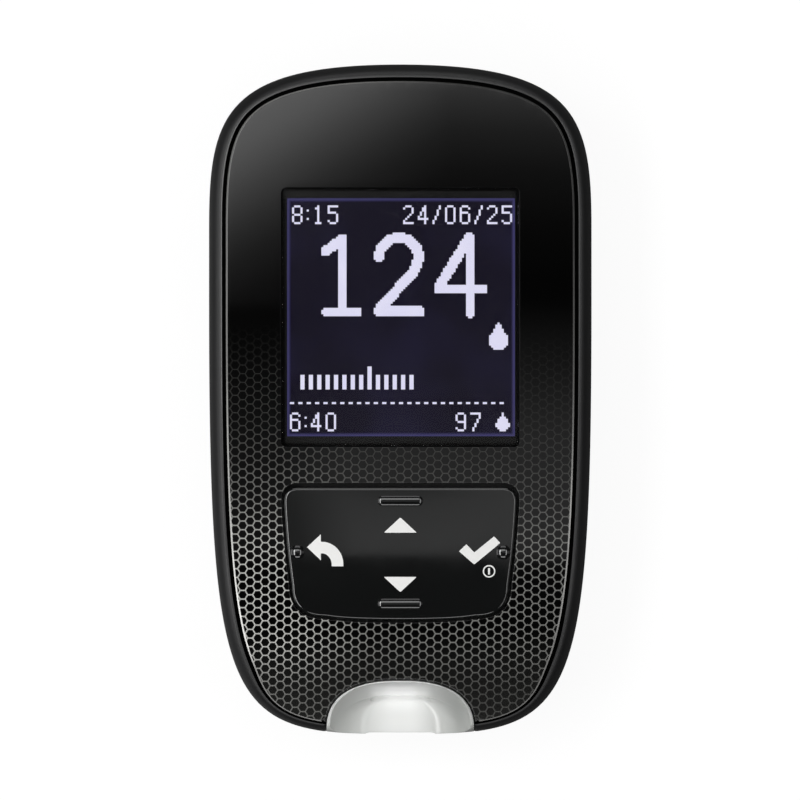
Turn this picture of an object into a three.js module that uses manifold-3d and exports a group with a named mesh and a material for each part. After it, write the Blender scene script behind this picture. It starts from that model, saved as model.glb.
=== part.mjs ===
// Pocket blood glucose meter, lying on its back.
// Millimetres. +Z comes out of the display, +Y is the display end, +X is to the right of the display.
// The test strip goes in at the -Y end, and the battery door is on the back, at the lowest Z.
import * as THREE from 'three';
import { mergeVertices } from 'three/addons/utils/BufferGeometryUtils.js';
import Module from 'manifold-3d';

const wasm = await Module();
wasm.setup();

// Fits
const running_clearance = 0.15;
const seat_gap = 0.1;
const cut_overrun = 1;
const weld_distance = 0.0001;

// Case: two shells that meet at the parting line
const parting_z = 10.5;
const wall = 1.6;
const back_round_inset = 6.5;
const lip_height = 0.8;
const lip_thickness = 0.75;
const seam_bevel = 0.15;
const case_steps = 11;
const back_round_steps = 5;

// Outline of the case, as shares of its half width and half length
const side_top_share = 0.5215;
const side_foot_share = 0.3124;
const top_side_handle_share = 0.8494;
const top_end_handle_share = 0.9194;
const foot_side_handle_share = -0.9545;
const foot_end_handle_share = 0.9138;

// Front: a rounded rim, a dark groove and a crowned plate, all sloping down at the strip end
const rim_z = 18.9;
const rim_round_inset = 1.6;
const rim_round_height = 3.2;
const rim_steps = 3;
const groove_width = 0.65;
const crown_rise = 1.1;
const crown_ring_shares = [0.86, 0.62, 0.34];
const plate_thickness = 1.4;
const plate_edge_round = 0.25;
const deck_thickness = 1.2;
const nose_length = 16;
const nose_drop = 2.2;

// Display window and what lies under it
const window_to_side = 8.75;
const window_to_display_end = 14.95;
const window_to_keys = 4.71;
const window_corner = 0.7;
const lens_gap = 0.3;
const lens_recess = 0.12;
const lens_flange_width = 0.9;
const lens_flange_thickness = 0.5;
const deck_ledge_width = 1.05;
const glass_side_margin = 0.45;
const glass_end_margin = 0.18;
const glass_thickness = 1.6;
const backlight_thickness = 1.1;
const holder_wall = 1;
const holder_floor = 0.9;
const holder_top_step = 0.2;
const small_corner = 0.5;
const ribbon_half_width = 6;
const ribbon_thickness = 0.2;
const ribbon_slot_height = 0.8;
const ribbon_rise_above_glass_back = 0.7;
const ribbon_socket_margin = 1;
const ribbon_socket_depth = 1.4;
const ribbon_socket_height = 1;
const ribbon_socket_to_holder = 1.3;

// Key pad: one cap that rocks on a ball over four snap domes
const key_half_length = 8.2;
const keys_to_foot_end = 13.8;
const keys_to_side = 8.8;
const key_taper = 0.95;
const key_top_corner = 2.1;
const key_foot_corner = 4.4;
const key_foot_bow = 0.3;
const key_side_bow = 0.25;
const key_steps = 3;
const key_groove = 0.45;
const key_proud = 0.2;
const key_pillow = 0.1;
const key_edge_round = 0.4;
const key_shell = 1.2;
const key_flange_width = 0.6;
const key_flange_thickness = 0.7;
const key_flange_gap = 0.75;
const key_ring_shares = [0.8, 0.4];
const key_rib_half_length = 2.75;
const key_rib_radius = 0.68;
const key_rib_y_share = 0.744;
const key_dot_radius = 0.9;
const key_dot_x_share = 0.865;
const key_mark_sink = 0.42;
const key_travel_gap = 0.3;
const key_post_radius = 1.3;
const key_post_x_share = 0.73;
const key_post_y_share = 0.66;
const ball_radius = 1.4;
const ball_height_above_board = 1.6;
const ball_socket_wall = 1;
const ball_stem_radius = 0.8;
const ball_stem_depth = 0.8;
const socket_lip_below_ball = 0.4;
const dome_radius = 2.1;
const dome_rise = 0.3;
const dome_thickness = 0.1;
const dome_shoulder_share = 0.75;
const dome_shoulder_rise_share = 0.65;
const dome_inner_share = 0.7;
const dome_inner_rise_share = 0.6;
const mat_thickness = 0.25;
const mat_inset = 0.6;
const mat_hole_radius = 1.6;

// Circuit board and the components on it
const board_above_parting = 0.9;
const board_thickness = 1;
const board_inset = 4.5;
const board_tab_half_width = 4.8;
const board_tab_end_inset = 2.3;
const processor_size = 9;
const processor_height = 1.2;
const radio_size = 7;
const radio_height = 1.5;
const memory_half_width = 2.5;
const memory_half_length = 2;
const memory_height = 1;
const crystal_length = 3.2;
const crystal_radius = 0.75;
const crystal_round_share = 0.9;
const beeper_radius = 4.5;
const beeper_height = 2;
const beeper_hole_radius = 0.8;
const led_half_width = 0.8;
const led_half_length = 0.4;
const led_height = 0.6;
const led_from_port_y = 1.3;
const led_to_connector = 0.5;
const processor_beyond_first_cell = 5.95;
const radio_beyond_second_cell = 2.85;
const memory_to_processor = 0.65;
const crystal_to_processor = 1.55;
const memory_beyond_processor = 1.4;
const beeper_to_contact = 1.45;
const beeper_to_processor = 0.8;

// Battery bay, cells and contacts
const door_recess = 0.15;
const door_thickness = 1.3;
const cell_radius = 10;
const cell_height = 3.2;
const cell_gap = 0.3;
const cell_to_cell = 1.5;
const cell_side_clearance = 0.4;
const cell_lid_step = 0.8;
const cell_lid_inset = 1.1;
const cell_round = 0.35;
const bay_to_display_end = 10;
const bay_contact_space = 0.8;
const bay_wall = 1.6;
const bay_roof = 1.2;
const door_ledge = 0.7;
const door_corner = 1.2;
const contact_thickness = 0.2;
const contact_half_width = 1.5;
const contact_slot_margin = 0.3;
const leaf_tail_from_cell = 5.9;
const leaf_tip_from_cell = 2.4;
const leaf_foot_from_cell = 1.2;
const leaf_rise = 0.35;
const clip_stand_off = 0.75;
const clip_bow_height = 1.5;
const clip_tip_height = 0.6;
const clip_tip_out = 0.35;

// Battery door: lugs at the display end, snap tongue at the strip end
const lug_half_width = 1.5;
const lug_x = 6;
const lug_length = 1.35;
const lug_thickness = 0.85;
const lug_root = 1.5;
const lug_slot_height = 1.9;
const tongue_half_width = 4.5;
const tongue_length = 2.85;
const tongue_wall = 0.7;
const tongue_wall_height = 2.1;
const tongue_pocket_wall = 1;
const tongue_slit = 0.5;
const tongue_slit_length = 3.5;
const thumb_notch_radius = 4.8;
const thumb_notch_depth = 0.8;
const grip_groove_width = 0.6;
const grip_groove_depth = 0.3;
const grip_groove_pitch = 1.4;
const grip_groove_count = 3;
const grip_groove_half_length = 5;

// Case screws
const upper_screw_to_bay = 3;
const upper_screw_to_side = 8.2;
const upper_screw_to_window = 3.8;
const lower_screw_to_side = 9;
const lower_screw_to_keys = 1.15;
const screw_head_radius = 1.7;
const screw_head_height = 1.2;
const screw_seat_z = 2.6;
const screw_shank_radius = 0.95;
const screw_length = 12.6;
const screw_point = 0.9;
const screw_cross_depth = 0.7;
const screw_cross_length = 2;
const screw_cross_width = 0.5;
const boss_radius = 2.2;
const boss_foot_radius = 2.7;
const boss_foot_height = 0.8;
const front_boss_radius = 2;

// Strip port, connector and contacts
const strip_plane_above_board = 0.5;
const port_half_width = 8.95;
const port_length = 6.14;
const port_center_inset = 0.45;
const port_power = 2.5;
const port_steps = 20;
const port_gap = 0.12;
const port_rim = 0.35;
const port_bowl_depth = 4.3;
const port_bowl_top_below_rim = 0.8;
const port_bowl_plan_shares = [1, 0.93, 0.8, 0.6, 0.35];
const port_bowl_depth_shares = [0, 0.28, 0.55, 0.8, 0.95];
const strip_slot_half_width = 3.6;
const strip_slot_height = 1.4;
const strip_slot_from_end = 4.65;
const strip_flare = 0.6;
const strip_flare_length = 1;
const strip_mouth_recess = 0.25;
const port_neck_half_width = 5.2;
const port_neck_from_end = 7.15;
const port_neck_roof = 0.5;
const port_foot_half_width = 10.6;
const port_foot_height = 2.9;
const port_foot_from_end = 6.05;
const connector_gap = 0.3;
const connector_half_width = 4.6;
const connector_length = 5.6;
const connector_height = 3.2;
const connector_strip_depth = 4.8;
const connector_strip_height = 0.8;
const contact_count = 5;
const contact_pitch = 1.1;
const wire_width = 0.5;
const wire_thickness = 0.2;
const comb_width = 0.8;
const comb_height = 2.1;
const comb_front = 1.1;
const contact_tail_length = 0.8;
const contact_tail_rise = 0.125;
const contact_knee_drop = 0.4;
const contact_touch_from_stop = 1.4;

// Strip ejector: a button whose wedge drives a pusher with two prongs
const button_to_connector = 3.6;
const button_to_bay = 5.35;
const button_half_length = 3.5;
const button_low_z = 2.5;
const button_height = 3.1;
const button_proud = 0.7;
const button_travel = 1.8;
const button_flange = 0.85;
const button_flange_margin = 0.8;
const button_flange_from_side = 5.6;
const button_block_margin = 1.4;
const button_rod_half_width = 1.5;
const button_rod_drop = 0.7;
const wedge_slope = 1.5;
const wedge_length = 6.6;
const wedge_to_pusher = 1.7;
const wedge_back_from_side = 10.2;
const wedge_gap = 0.15;
const pusher_thickness = 1.6;
const pusher_below_board = 0.3;
const pusher_half_width = 3.9;
const pusher_shoulder = 0.9;
const prong_inner_x = 2.5;
const prong_outer_x = 3.4;
const prong_length = 1;
const prong_above_strip_floor = 0.6;
const guide_rib_width = 1;
const guide_rib_gap = 0.3;
const carry_rib_inner_x = 2.4;
const rib_length_beyond = 2.2;
const spring_radius = 1;
const spring_wire_radius = 0.16;
const spring_turns = 7;
const spring_steps_per_turn = 8;
const spring_tab_half_width = 1.4;
const spring_tab_thickness = 1.2;
const spring_tab_drop = 2.9;
const spring_length = 8.4;
const spring_end_gap = 0.2;
const anchor_rib_width = 1;

// Data socket at the display end
const socket_half_width = 3.75;
const socket_height = 2.45;
const socket_depth = 5.6;
const socket_wall = 0.3;
const socket_chamfer = 0.7;
const socket_from_end = 1.05;
const socket_tongue_half_width = 2.6;
const socket_tongue_thickness = 0.6;
const socket_tongue_length = 4.2;
const socket_opening_margin = 0.5;
const socket_opening_corner = 0.9;

// Width and length of the case: the cells, the screws beside them, and what lies in line with them
const cell_pitch = cell_radius * 2 + cell_to_cell;
const bay_half_width = cell_radius + cell_side_clearance;
const bay_half_length = cell_pitch / 2 + bay_half_width;
const screw_upper_x = bay_half_width + bay_wall + upper_screw_to_bay;
const case_half_width = screw_upper_x + upper_screw_to_side;
const display_stack = bay_to_display_end + bay_half_length * 2;
const button_stack = button_to_bay + button_half_length * 2 + button_to_connector;
const port_stack = connector_length + connector_gap + port_neck_from_end;
const case_half_length = (display_stack + button_stack + port_stack) / 2;

// Places along the case, from its two ends
const bay_center_y = case_half_length - bay_to_display_end - bay_half_length;
const button_center_y = port_stack + button_to_connector + button_half_length - case_half_length;
const key_center_y = keys_to_foot_end + key_half_length - case_half_length;
const front_margins = window_to_display_end + window_to_keys + key_half_length * 2 + keys_to_foot_end;
const window_half_length = case_half_length - front_margins / 2;
const window_center_y = case_half_length - window_to_display_end - window_half_length;
const screw_upper_y = window_center_y + window_half_length + upper_screw_to_window;
const screw_lower_y = key_center_y - key_half_length - lower_screw_to_keys;

// Places across the case, from its sides
const window_half_width = case_half_width - window_to_side;
const glass_half_width = window_half_width + glass_side_margin;
const glass_half_length = window_half_length + glass_end_margin;
const ribbon_socket_half_width = ribbon_half_width + ribbon_socket_margin;
const key_top_half_width = case_half_width - keys_to_side;
const key_foot_half_width = key_top_half_width - key_taper;
const screw_lower_x = case_half_width - lower_screw_to_side;
const led_x = connector_half_width + led_to_connector + led_half_width;
const wedge_tip_x = -pusher_half_width - wedge_to_pusher;
const wedge_back_x = wedge_back_from_side - case_half_width;
const cell_lid_radius = cell_radius - cell_lid_inset;
const cell_rim_height = cell_height - cell_lid_step;

// Heights that follow from the sizes above
const board_bottom = parting_z + board_above_parting;
const board_top = board_bottom + board_thickness;
const door_top = door_recess + door_thickness;
const cell_low = door_top + cell_gap;
const cell_top = cell_low + cell_height;
const bay_ceiling = cell_top + bay_contact_space;
const bay_top = bay_ceiling + bay_roof;
const holder_low = board_top;
const backlight_low = holder_low + holder_floor + seat_gap;
const glass_low = backlight_low + backlight_thickness + seat_gap;
const glass_top = glass_low + glass_thickness;
const holder_top = glass_top - holder_top_step;
const strip_floor = board_top + strip_plane_above_board;
const ball_z = board_top + ball_height_above_board;
const dome_top = board_top + dome_rise;
const mat_low = dome_top + seat_gap / 2;
const mat_top = mat_low + mat_thickness;
const key_post_low = mat_top + key_travel_gap;
const deck_depth = plate_thickness + seat_gap;
const deck_bottom_depth = deck_depth + deck_thickness;
const high_above = rim_z + crown_rise + cut_overrun;

// Materials
function plastic(color, roughness) {
  return new THREE.MeshStandardMaterial({ color, roughness, metalness: 0 });
}

function metal(color, roughness) {
  return new THREE.MeshStandardMaterial({ color, roughness, metalness: 1 });
}

const satin_case = plastic('#2b2b2a', 0.45);
const gloss_black = plastic('#0a0a0a', 0.08);
const key_black = plastic('#141414', 0.12);
const clear_window = new THREE.MeshStandardMaterial({
  color: '#20202a', roughness: 0.05, metalness: 0, transparent: true, opacity: 0.4,
});
const port_white = plastic('#e4e6e3', 0.3);
const display_dark = plastic('#1b1728', 0.1);
const white_film = plastic('#e9e9e4', 0.5);
const frame_white = plastic('#d8d8d2', 0.5);
const silicone_grey = plastic('#8a8d8c', 0.7);
const board_green = plastic('#1f5134', 0.45);
const chip_black = plastic('#191a1b', 0.5);
const connector_black = plastic('#1c1c1e', 0.5);
const film_amber = plastic('#a8702a', 0.4);
const led_white = plastic('#f4f3e6', 0.3);
const lever_white = plastic('#c9ccca', 0.45);
const steel = metal('#b6b8ba', 0.3);
const screw_zinc = metal('#9a9c9e', 0.35);
const spring_gold = metal('#d0a85a', 0.3);
const cell_steel = metal('#c3c5c6', 0.25);

// Closed bodies
function solid(geometry) {
  const bare = geometry.clone();
  bare.deleteAttribute('normal');
  bare.deleteAttribute('uv');
  const welded = mergeVertices(bare, weld_distance);
  const corners = welded.attributes.position.array;
  const faces = Uint32Array.from(welded.index.array);
  if (signedVolume(corners, faces) < 0) {
    for (let face = 0; face < faces.length; face += 3) {
      const first = faces[face];
      faces[face] = faces[face + 1];
      faces[face + 1] = first;
    }
  }
  return new wasm.Manifold(new wasm.Mesh({ numProp: 3, vertProperties: corners, triVerts: faces }));
}

function signedVolume(corners, faces) {
  const a = new THREE.Vector3();
  const b = new THREE.Vector3();
  const c = new THREE.Vector3();
  let sum = 0;
  for (let face = 0; face < faces.length; face += 3) {
    a.fromArray(corners, faces[face] * 3);
    b.fromArray(corners, faces[face + 1] * 3);
    c.fromArray(corners, faces[face + 2] * 3);
    sum += a.dot(b.cross(c));
  }
  return sum;
}

function geometryOf(body) {
  const mesh = body.getMesh();
  const geometry = new THREE.BufferGeometry();
  geometry.setAttribute('position', new THREE.BufferAttribute(Float32Array.from(mesh.vertProperties), 3));
  geometry.setIndex(new THREE.BufferAttribute(Uint32Array.from(mesh.triVerts), 1));
  geometry.computeVertexNormals();
  return geometry;
}

function joined(bodies) {
  return bodies.reduce((whole, body) => whole.add(body));
}

function block(low, high) {
  const size = new THREE.Vector3().subVectors(high, low);
  const middle = new THREE.Vector3().addVectors(low, high).multiplyScalar(1 / 2);
  const geometry = new THREE.BoxGeometry(size.x, size.y, size.z);
  geometry.translate(middle.x, middle.y, middle.z);
  return solid(geometry);
}

function at(x, y, z) {
  return new THREE.Vector3(x, y, z);
}

function post(x, y, radius, low, high, steps = 14) {
  const geometry = new THREE.CylinderGeometry(radius, radius, high - low, steps);
  geometry.rotateX(Math.PI / 2);
  geometry.translate(x, y, (low + high) / 2);
  return solid(geometry);
}

function ball(x, y, z, radius, steps = 12) {
  const geometry = new THREE.SphereGeometry(radius, steps, steps / 2);
  geometry.translate(x, y, z);
  return solid(geometry);
}

// A profile of (radius, height) points turned about the Z axis
function turned(profile, steps = 20) {
  const geometry = new THREE.LatheGeometry(profile, steps);
  geometry.rotateX(Math.PI / 2);
  return solid(geometry);
}

function prism(outline, low, high) {
  const settings = { depth: high - low, bevelEnabled: false };
  const geometry = new THREE.ExtrudeGeometry(new THREE.Shape(outline), settings);
  geometry.translate(0, 0, low);
  return solid(geometry);
}

// A profile of (y, z) points drawn out along X
function prismAlongX(outline, low, high) {
  const settings = { depth: high - low, bevelEnabled: false };
  const geometry = new THREE.ExtrudeGeometry(new THREE.Shape(outline), settings);
  geometry.applyMatrix4(new THREE.Matrix4().makeBasis(at(0, 1, 0), at(0, 0, 1), at(1, 0, 0)));
  geometry.translate(low, 0, 0);
  return solid(geometry);
}

// A profile of (x, z) points drawn out along Y
function prismAlongY(outline, low, high) {
  const settings = { depth: high - low, bevelEnabled: false };
  const geometry = new THREE.ExtrudeGeometry(new THREE.Shape(outline), settings);
  geometry.applyMatrix4(new THREE.Matrix4().makeBasis(at(1, 0, 0), at(0, 0, 1), at(0, -1, 0)));
  geometry.translate(0, high, 0);
  return solid(geometry);
}

// Outlines run counter-clockwise
function point(x, y) {
  return new THREE.Vector2(x, y);
}

function outlineOf(shape, steps) {
  const points = shape.getPoints(steps);
  if (points[0].distanceTo(points[points.length - 1]) < weld_distance) {
    points.pop();
  }
  return points;
}

function offset(outline, inset) {
  return outline.map((corner, index) => {
    const before = outline[(index + outline.length - 1) % outline.length];
    const after = outline[(index + 1) % outline.length];
    const arriving = corner.clone().sub(before).normalize();
    const leaving = after.clone().sub(corner).normalize();
    const inward = point(-arriving.y - leaving.y, arriving.x + leaving.x).normalize();
    const mitre = inset / inward.dot(point(-arriving.y, arriving.x));
    return corner.clone().addScaledVector(inward, mitre);
  });
}

function scaledOutline(outline, share, center = point(0, 0)) {
  return outline.map((corner) => corner.clone().sub(center).multiplyScalar(share).add(center));
}

function roundedBox(centerX, centerY, halfWidth, halfLength, corner, steps = 2) {
  const shape = new THREE.Shape();
  const x = halfWidth - corner;
  const y = halfLength - corner;
  shape.absarc(centerX + x, centerY + y, corner, 0, Math.PI / 2);
  shape.absarc(centerX - x, centerY + y, corner, Math.PI / 2, Math.PI);
  shape.absarc(centerX - x, centerY - y, corner, Math.PI, Math.PI * 1.5);
  shape.absarc(centerX + x, centerY - y, corner, Math.PI * 1.5, Math.PI * 2);
  return outlineOf(shape, steps);
}

// The outline of a bent strip of sheet metal or film: its middle line thickened to both sides
function stripOutline(line, thickness) {
  const sides = [1, -1].map((side) => line.map((corner, index) => {
    const before = line[Math.max(0, index - 1)];
    const after = line[Math.min(line.length - 1, index + 1)];
    const arriving = (index > 0 ? corner.clone().sub(before) : after.clone().sub(corner)).normalize();
    const leaving = (index < line.length - 1 ? after.clone().sub(corner) : corner.clone().sub(before));
    leaving.normalize();
    const across = point(-arriving.y - leaving.y, arriving.x + leaving.x).normalize();
    const mitre = thickness / 2 / across.dot(point(-arriving.y, arriving.x));
    return corner.clone().addScaledVector(across, side * mitre);
  }));
  return [...sides[0], ...sides[1].reverse()];
}

function ring(outline, height) {
  return outline.map((corner) => {
    const z = typeof height === 'function' ? height(corner.x, corner.y) : height;
    return at(corner.x, corner.y, z);
  });
}

// A skin over rings with equal numbers of points. A ring of one point is a pole. A ring at the end
// of an open loft is closed by a fan, and a looped loft joins its last ring to its first. Each
// four-sided face is split along its shorter diagonal, so layers over the same rings fit together.
function loft(rings, looped = false) {
  const corners = [];
  const starts = rings.map((one) => {
    const start = corners.length;
    corners.push(...one);
    return start;
  });
  const faces = [];
  const bands = looped ? rings.length : rings.length - 1;
  for (let band = 0; band < bands; band += 1) {
    const next = (band + 1) % rings.length;
    const lower = rings[band].length;
    const upper = rings[next].length;
    const count = lower === 1 && upper === 1 ? 0 : Math.max(lower, upper);
    for (let side = 0; side < count; side += 1) {
      const a = starts[band] + (side % lower);
      const b = starts[band] + ((side + 1) % lower);
      const c = starts[next] + ((side + 1) % upper);
      const d = starts[next] + (side % upper);
      if (lower === 1) {
        faces.push(a, c, d);
      } else if (upper === 1) {
        faces.push(a, b, c);
      } else if (corners[a].distanceTo(corners[c]) < corners[b].distanceTo(corners[d])) {
        faces.push(a, b, c, a, c, d);
      } else {
        faces.push(a, b, d, b, c, d);
      }
    }
  }
  if (!looped) {
    [rings[0], rings[rings.length - 1]].forEach((end, last) => {
      if (end.length > 1) {
        const start = last ? starts[rings.length - 1] : starts[0];
        const middle = end.reduce((sum, corner) => sum.add(corner), at(0, 0, 0)).divideScalar(end.length);
        const hub = corners.push(middle) - 1;
        end.forEach((corner, side) => {
          const here = start + side;
          const there = start + ((side + 1) % end.length);
          faces.push(hub, last ? here : there, last ? there : here);
        });
      }
    });
  }
  const geometry = new THREE.BufferGeometry().setFromPoints(corners);
  geometry.setIndex(faces);
  return solid(geometry);
}

const meter = new THREE.Group();

function place(name, body, material, group = meter) {
  const mesh = new THREE.Mesh(geometryOf(body), material);
  mesh.name = name;
  group.add(mesh);
  return mesh;
}

// Case outline: a straight side between two long curves at the display end and the strip end
function caseOutline() {
  const side_top = case_half_length * side_top_share;
  const side_foot = case_half_length * side_foot_share;
  const top_side = case_half_length * top_side_handle_share;
  const top_end = case_half_width * top_end_handle_share;
  const foot_side = case_half_length * foot_side_handle_share;
  const foot_end = case_half_width * foot_end_handle_share;
  const shape = new THREE.Shape();
  shape.moveTo(case_half_width, side_foot);
  shape.lineTo(case_half_width, side_top);
  shape.bezierCurveTo(case_half_width, top_side, top_end, case_half_length, 0, case_half_length);
  shape.bezierCurveTo(-top_end, case_half_length, -case_half_width, top_side, -case_half_width, side_top);
  shape.lineTo(-case_half_width, side_foot);
  shape.bezierCurveTo(-case_half_width, foot_side, -foot_end, -case_half_length, 0, -case_half_length);
  shape.bezierCurveTo(foot_end, -case_half_length, case_half_width, foot_side, case_half_width, side_foot);
  return outlineOf(shape, case_steps);
}

const case_outline = caseOutline();
const crown_outline = offset(case_outline, rim_round_inset);

// How far the front has dropped at a place along the meter
function noseDrop(y) {
  const into = Math.max(0, nose_length - case_half_length - y) / nose_length;
  return nose_drop * into * into;
}

function lowered(z, y) {
  const share = (z - parting_z) / (rim_z - parting_z);
  return z - noseDrop(y) * THREE.MathUtils.clamp(share, 0, 1);
}

// Where a point lies between the middle of the crown, 0, and its edge, 1
function crownShare(x, y) {
  let share = 0;
  crown_outline.forEach((start, index) => {
    const end = crown_outline[(index + 1) % crown_outline.length];
    const edge = end.clone().sub(start);
    const determinant = x * edge.y - y * edge.x;
    if (determinant > 0) {
      const reach = (start.x * edge.y - start.y * edge.x) / determinant;
      const along = (start.x * y - start.y * x) / determinant;
      if (along >= 0 && along <= 1) {
        share = 1 / reach;
      }
    }
  });
  return share;
}

// Height of the crowned front, and of the layers at a depth under it
function frontHeight(depth) {
  return (x, y) => {
    const share = crownShare(x, y);
    return lowered(rim_z + crown_rise * (1 - share * share), y) - depth;
  };
}

function crownRings(outline, depth) {
  const rings = crown_ring_shares.map((share) => ring(scaledOutline(outline, share), frontHeight(depth)));
  return [...rings, ring([point(0, 0)], frontHeight(depth))];
}

// A layer of the crowned front between two depths, cut to an outline
function crownLayer(outline, topDepth, bottomDepth) {
  const upper = [ring(crown_outline, frontHeight(topDepth)), ...crownRings(crown_outline, topDepth)];
  const lower = [ring(crown_outline, frontHeight(bottomDepth)), ...crownRings(crown_outline, bottomDepth)];
  const layer = loft([...upper, ...lower.reverse()], true);
  return layer.intersect(prism(outline, 0, high_above));
}

// The whole front as one full form, from the parting line to the crown
function frontForm() {
  const rim = [];
  for (let step = 0; step <= rim_steps; step += 1) {
    const angle = (step / rim_steps) * (Math.PI / 2);
    const inset = rim_round_inset * (1 - Math.cos(angle));
    const z = rim_z - rim_round_height * (1 - Math.sin(angle));
    rim.push(ring(offset(case_outline, inset), (x, y) => lowered(z, y)));
  }
  return { rim, full: [ring(case_outline, parting_z), ...rim, ...crownRings(crown_outline, 0)] };
}

const front_form = frontForm();

// Rear form: a flat back and a quarter ellipse up to the parting line
function rearRings(startInset, roundInset, lowZ) {
  const rings = [ring([point(0, 0)], lowZ)];
  for (let step = 0; step <= back_round_steps; step += 1) {
    const angle = (step / back_round_steps) * (Math.PI / 2);
    const inset = startInset + roundInset * (1 - Math.sin(angle));
    const z = parting_z - (parting_z - lowZ) * Math.cos(angle);
    rings.push(ring(offset(case_outline, inset), z));
  }
  return rings;
}

const rear_form = loft(rearRings(0, back_round_inset, 0));

// Strip port plan: a superellipse arch, open towards the end of the meter
function archOutline(grow) {
  const center_y = port_center_inset - case_half_length;
  const half_width = port_half_width + grow;
  const length = port_length + grow;
  const end_y = -case_half_length - cut_overrun;
  const points = [point(-half_width, end_y), point(half_width, end_y)];
  for (let step = 0; step <= port_steps; step += 1) {
    const angle = (step / port_steps) * Math.PI;
    const cosine = Math.cos(angle);
    const x = half_width * Math.sign(cosine) * Math.abs(cosine) ** (2 / port_power);
    const y = center_y + length * Math.abs(Math.sin(angle)) ** (2 / port_power);
    points.push(point(x, y));
  }
  return points;
}

// Key pad plan: straight top, sides that lean in, large corners at the foot
function keyOutline() {
  const top = key_center_y + key_half_length;
  const foot = key_center_y - key_half_length;
  const foot_x = key_foot_half_width - key_foot_corner;
  const side_foot_y = foot + key_foot_corner;
  const corner_foot_y = foot + key_foot_bow;
  const shape = new THREE.Shape();
  const side_middle_x = (key_top_half_width + key_foot_half_width) / 2 + key_side_bow;
  const side_middle_y = (top - key_top_corner + side_foot_y) / 2;
  const top_x = key_top_half_width - key_top_corner;
  const top_side_y = top - key_top_corner;
  shape.moveTo(key_foot_half_width, side_foot_y);
  shape.quadraticCurveTo(side_middle_x, side_middle_y, key_top_half_width, top_side_y);
  shape.quadraticCurveTo(key_top_half_width, top, top_x, top);
  shape.lineTo(-top_x, top);
  shape.quadraticCurveTo(-key_top_half_width, top, -key_top_half_width, top_side_y);
  shape.quadraticCurveTo(-side_middle_x, side_middle_y, -key_foot_half_width, side_foot_y);
  shape.quadraticCurveTo(-key_foot_half_width, corner_foot_y, -foot_x, corner_foot_y);
  shape.quadraticCurveTo(0, foot - key_foot_bow, foot_x, corner_foot_y);
  shape.quadraticCurveTo(key_foot_half_width, corner_foot_y, key_foot_half_width, side_foot_y);
  return outlineOf(shape, key_steps);
}

const key_opening = keyOutline();
const key_middle = point(0, key_center_y);
const window_outline = roundedBox(0, window_center_y, window_half_width, window_half_length, window_corner);

const screw_places = [
  point(screw_upper_x, screw_upper_y),
  point(-screw_upper_x, screw_upper_y),
  point(screw_lower_x, screw_lower_y),
  point(-screw_lower_x, screw_lower_y),
];

const dome_places = [
  point(0, key_center_y + key_half_length * key_post_y_share),
  point(0, key_center_y - key_half_length * key_post_y_share),
  point(key_top_half_width * key_post_x_share, key_center_y),
  point(-key_top_half_width * key_post_x_share, key_center_y),
];

const cell_places = [bay_center_y - cell_pitch / 2, bay_center_y + cell_pitch / 2];

// Data socket opening, through both shells at the display end
function socketOpening() {
  const half_height = socket_height / 2 + socket_opening_margin;
  const half_width = socket_half_width + socket_opening_margin;
  const middle_z = board_bottom - socket_height / 2;
  const outline = roundedBox(0, middle_z, half_width, half_height, socket_opening_corner);
  const inner_y = case_half_length - wall - cut_overrun;
  return prismAlongY(outline, inner_y, case_half_length + cut_overrun);
}

// Front housing: side wall, rounded rim, groove, and the deck that carries the front plate
function frontHousing() {
  const lip_room = wall - lip_thickness - running_clearance;
  const lip_top = parting_z + lip_height + seat_gap;
  const inner_wall = offset(case_outline, wall);
  const skin = [
    ring(offset(case_outline, seam_bevel), parting_z),
    ring(case_outline, parting_z + seam_bevel),
    ...front_form.rim,
    ring(crown_outline, frontHeight(deck_depth)),
    ...crownRings(crown_outline, deck_depth),
    ...crownRings(crown_outline, deck_bottom_depth).reverse(),
    ring(inner_wall, frontHeight(deck_bottom_depth)),
    ring(inner_wall, lip_top),
    ring(offset(case_outline, lip_room), lip_top),
    ring(offset(case_outline, lip_room), parting_z),
  ];
  const full = loft(front_form.full);
  const bosses = screw_places.map((place_) => post(
    place_.x, place_.y, front_boss_radius, board_top + seat_gap, rim_z,
  ).intersect(crownLayer(case_outline, deck_depth + seat_gap, rim_z - board_top)));
  const pilot_top = screw_seat_z + screw_length + seat_gap;
  const pilots = screw_places.map((place_) => post(
    place_.x, place_.y, screw_shank_radius + seat_gap, parting_z, pilot_top, 12,
  ));
  const deck_window = offset(window_outline, lens_gap + deck_ledge_width - lens_flange_width);
  const cuts = [
    prism(deck_window, parting_z, high_above),
    prism(key_opening, parting_z, high_above),
    prism(archOutline(port_gap), 0, high_above),
    socketOpening(),
    ...pilots,
  ];
  return joined([loft(skin, true), ...bosses]).intersect(full).subtract(joined(cuts));
}

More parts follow.
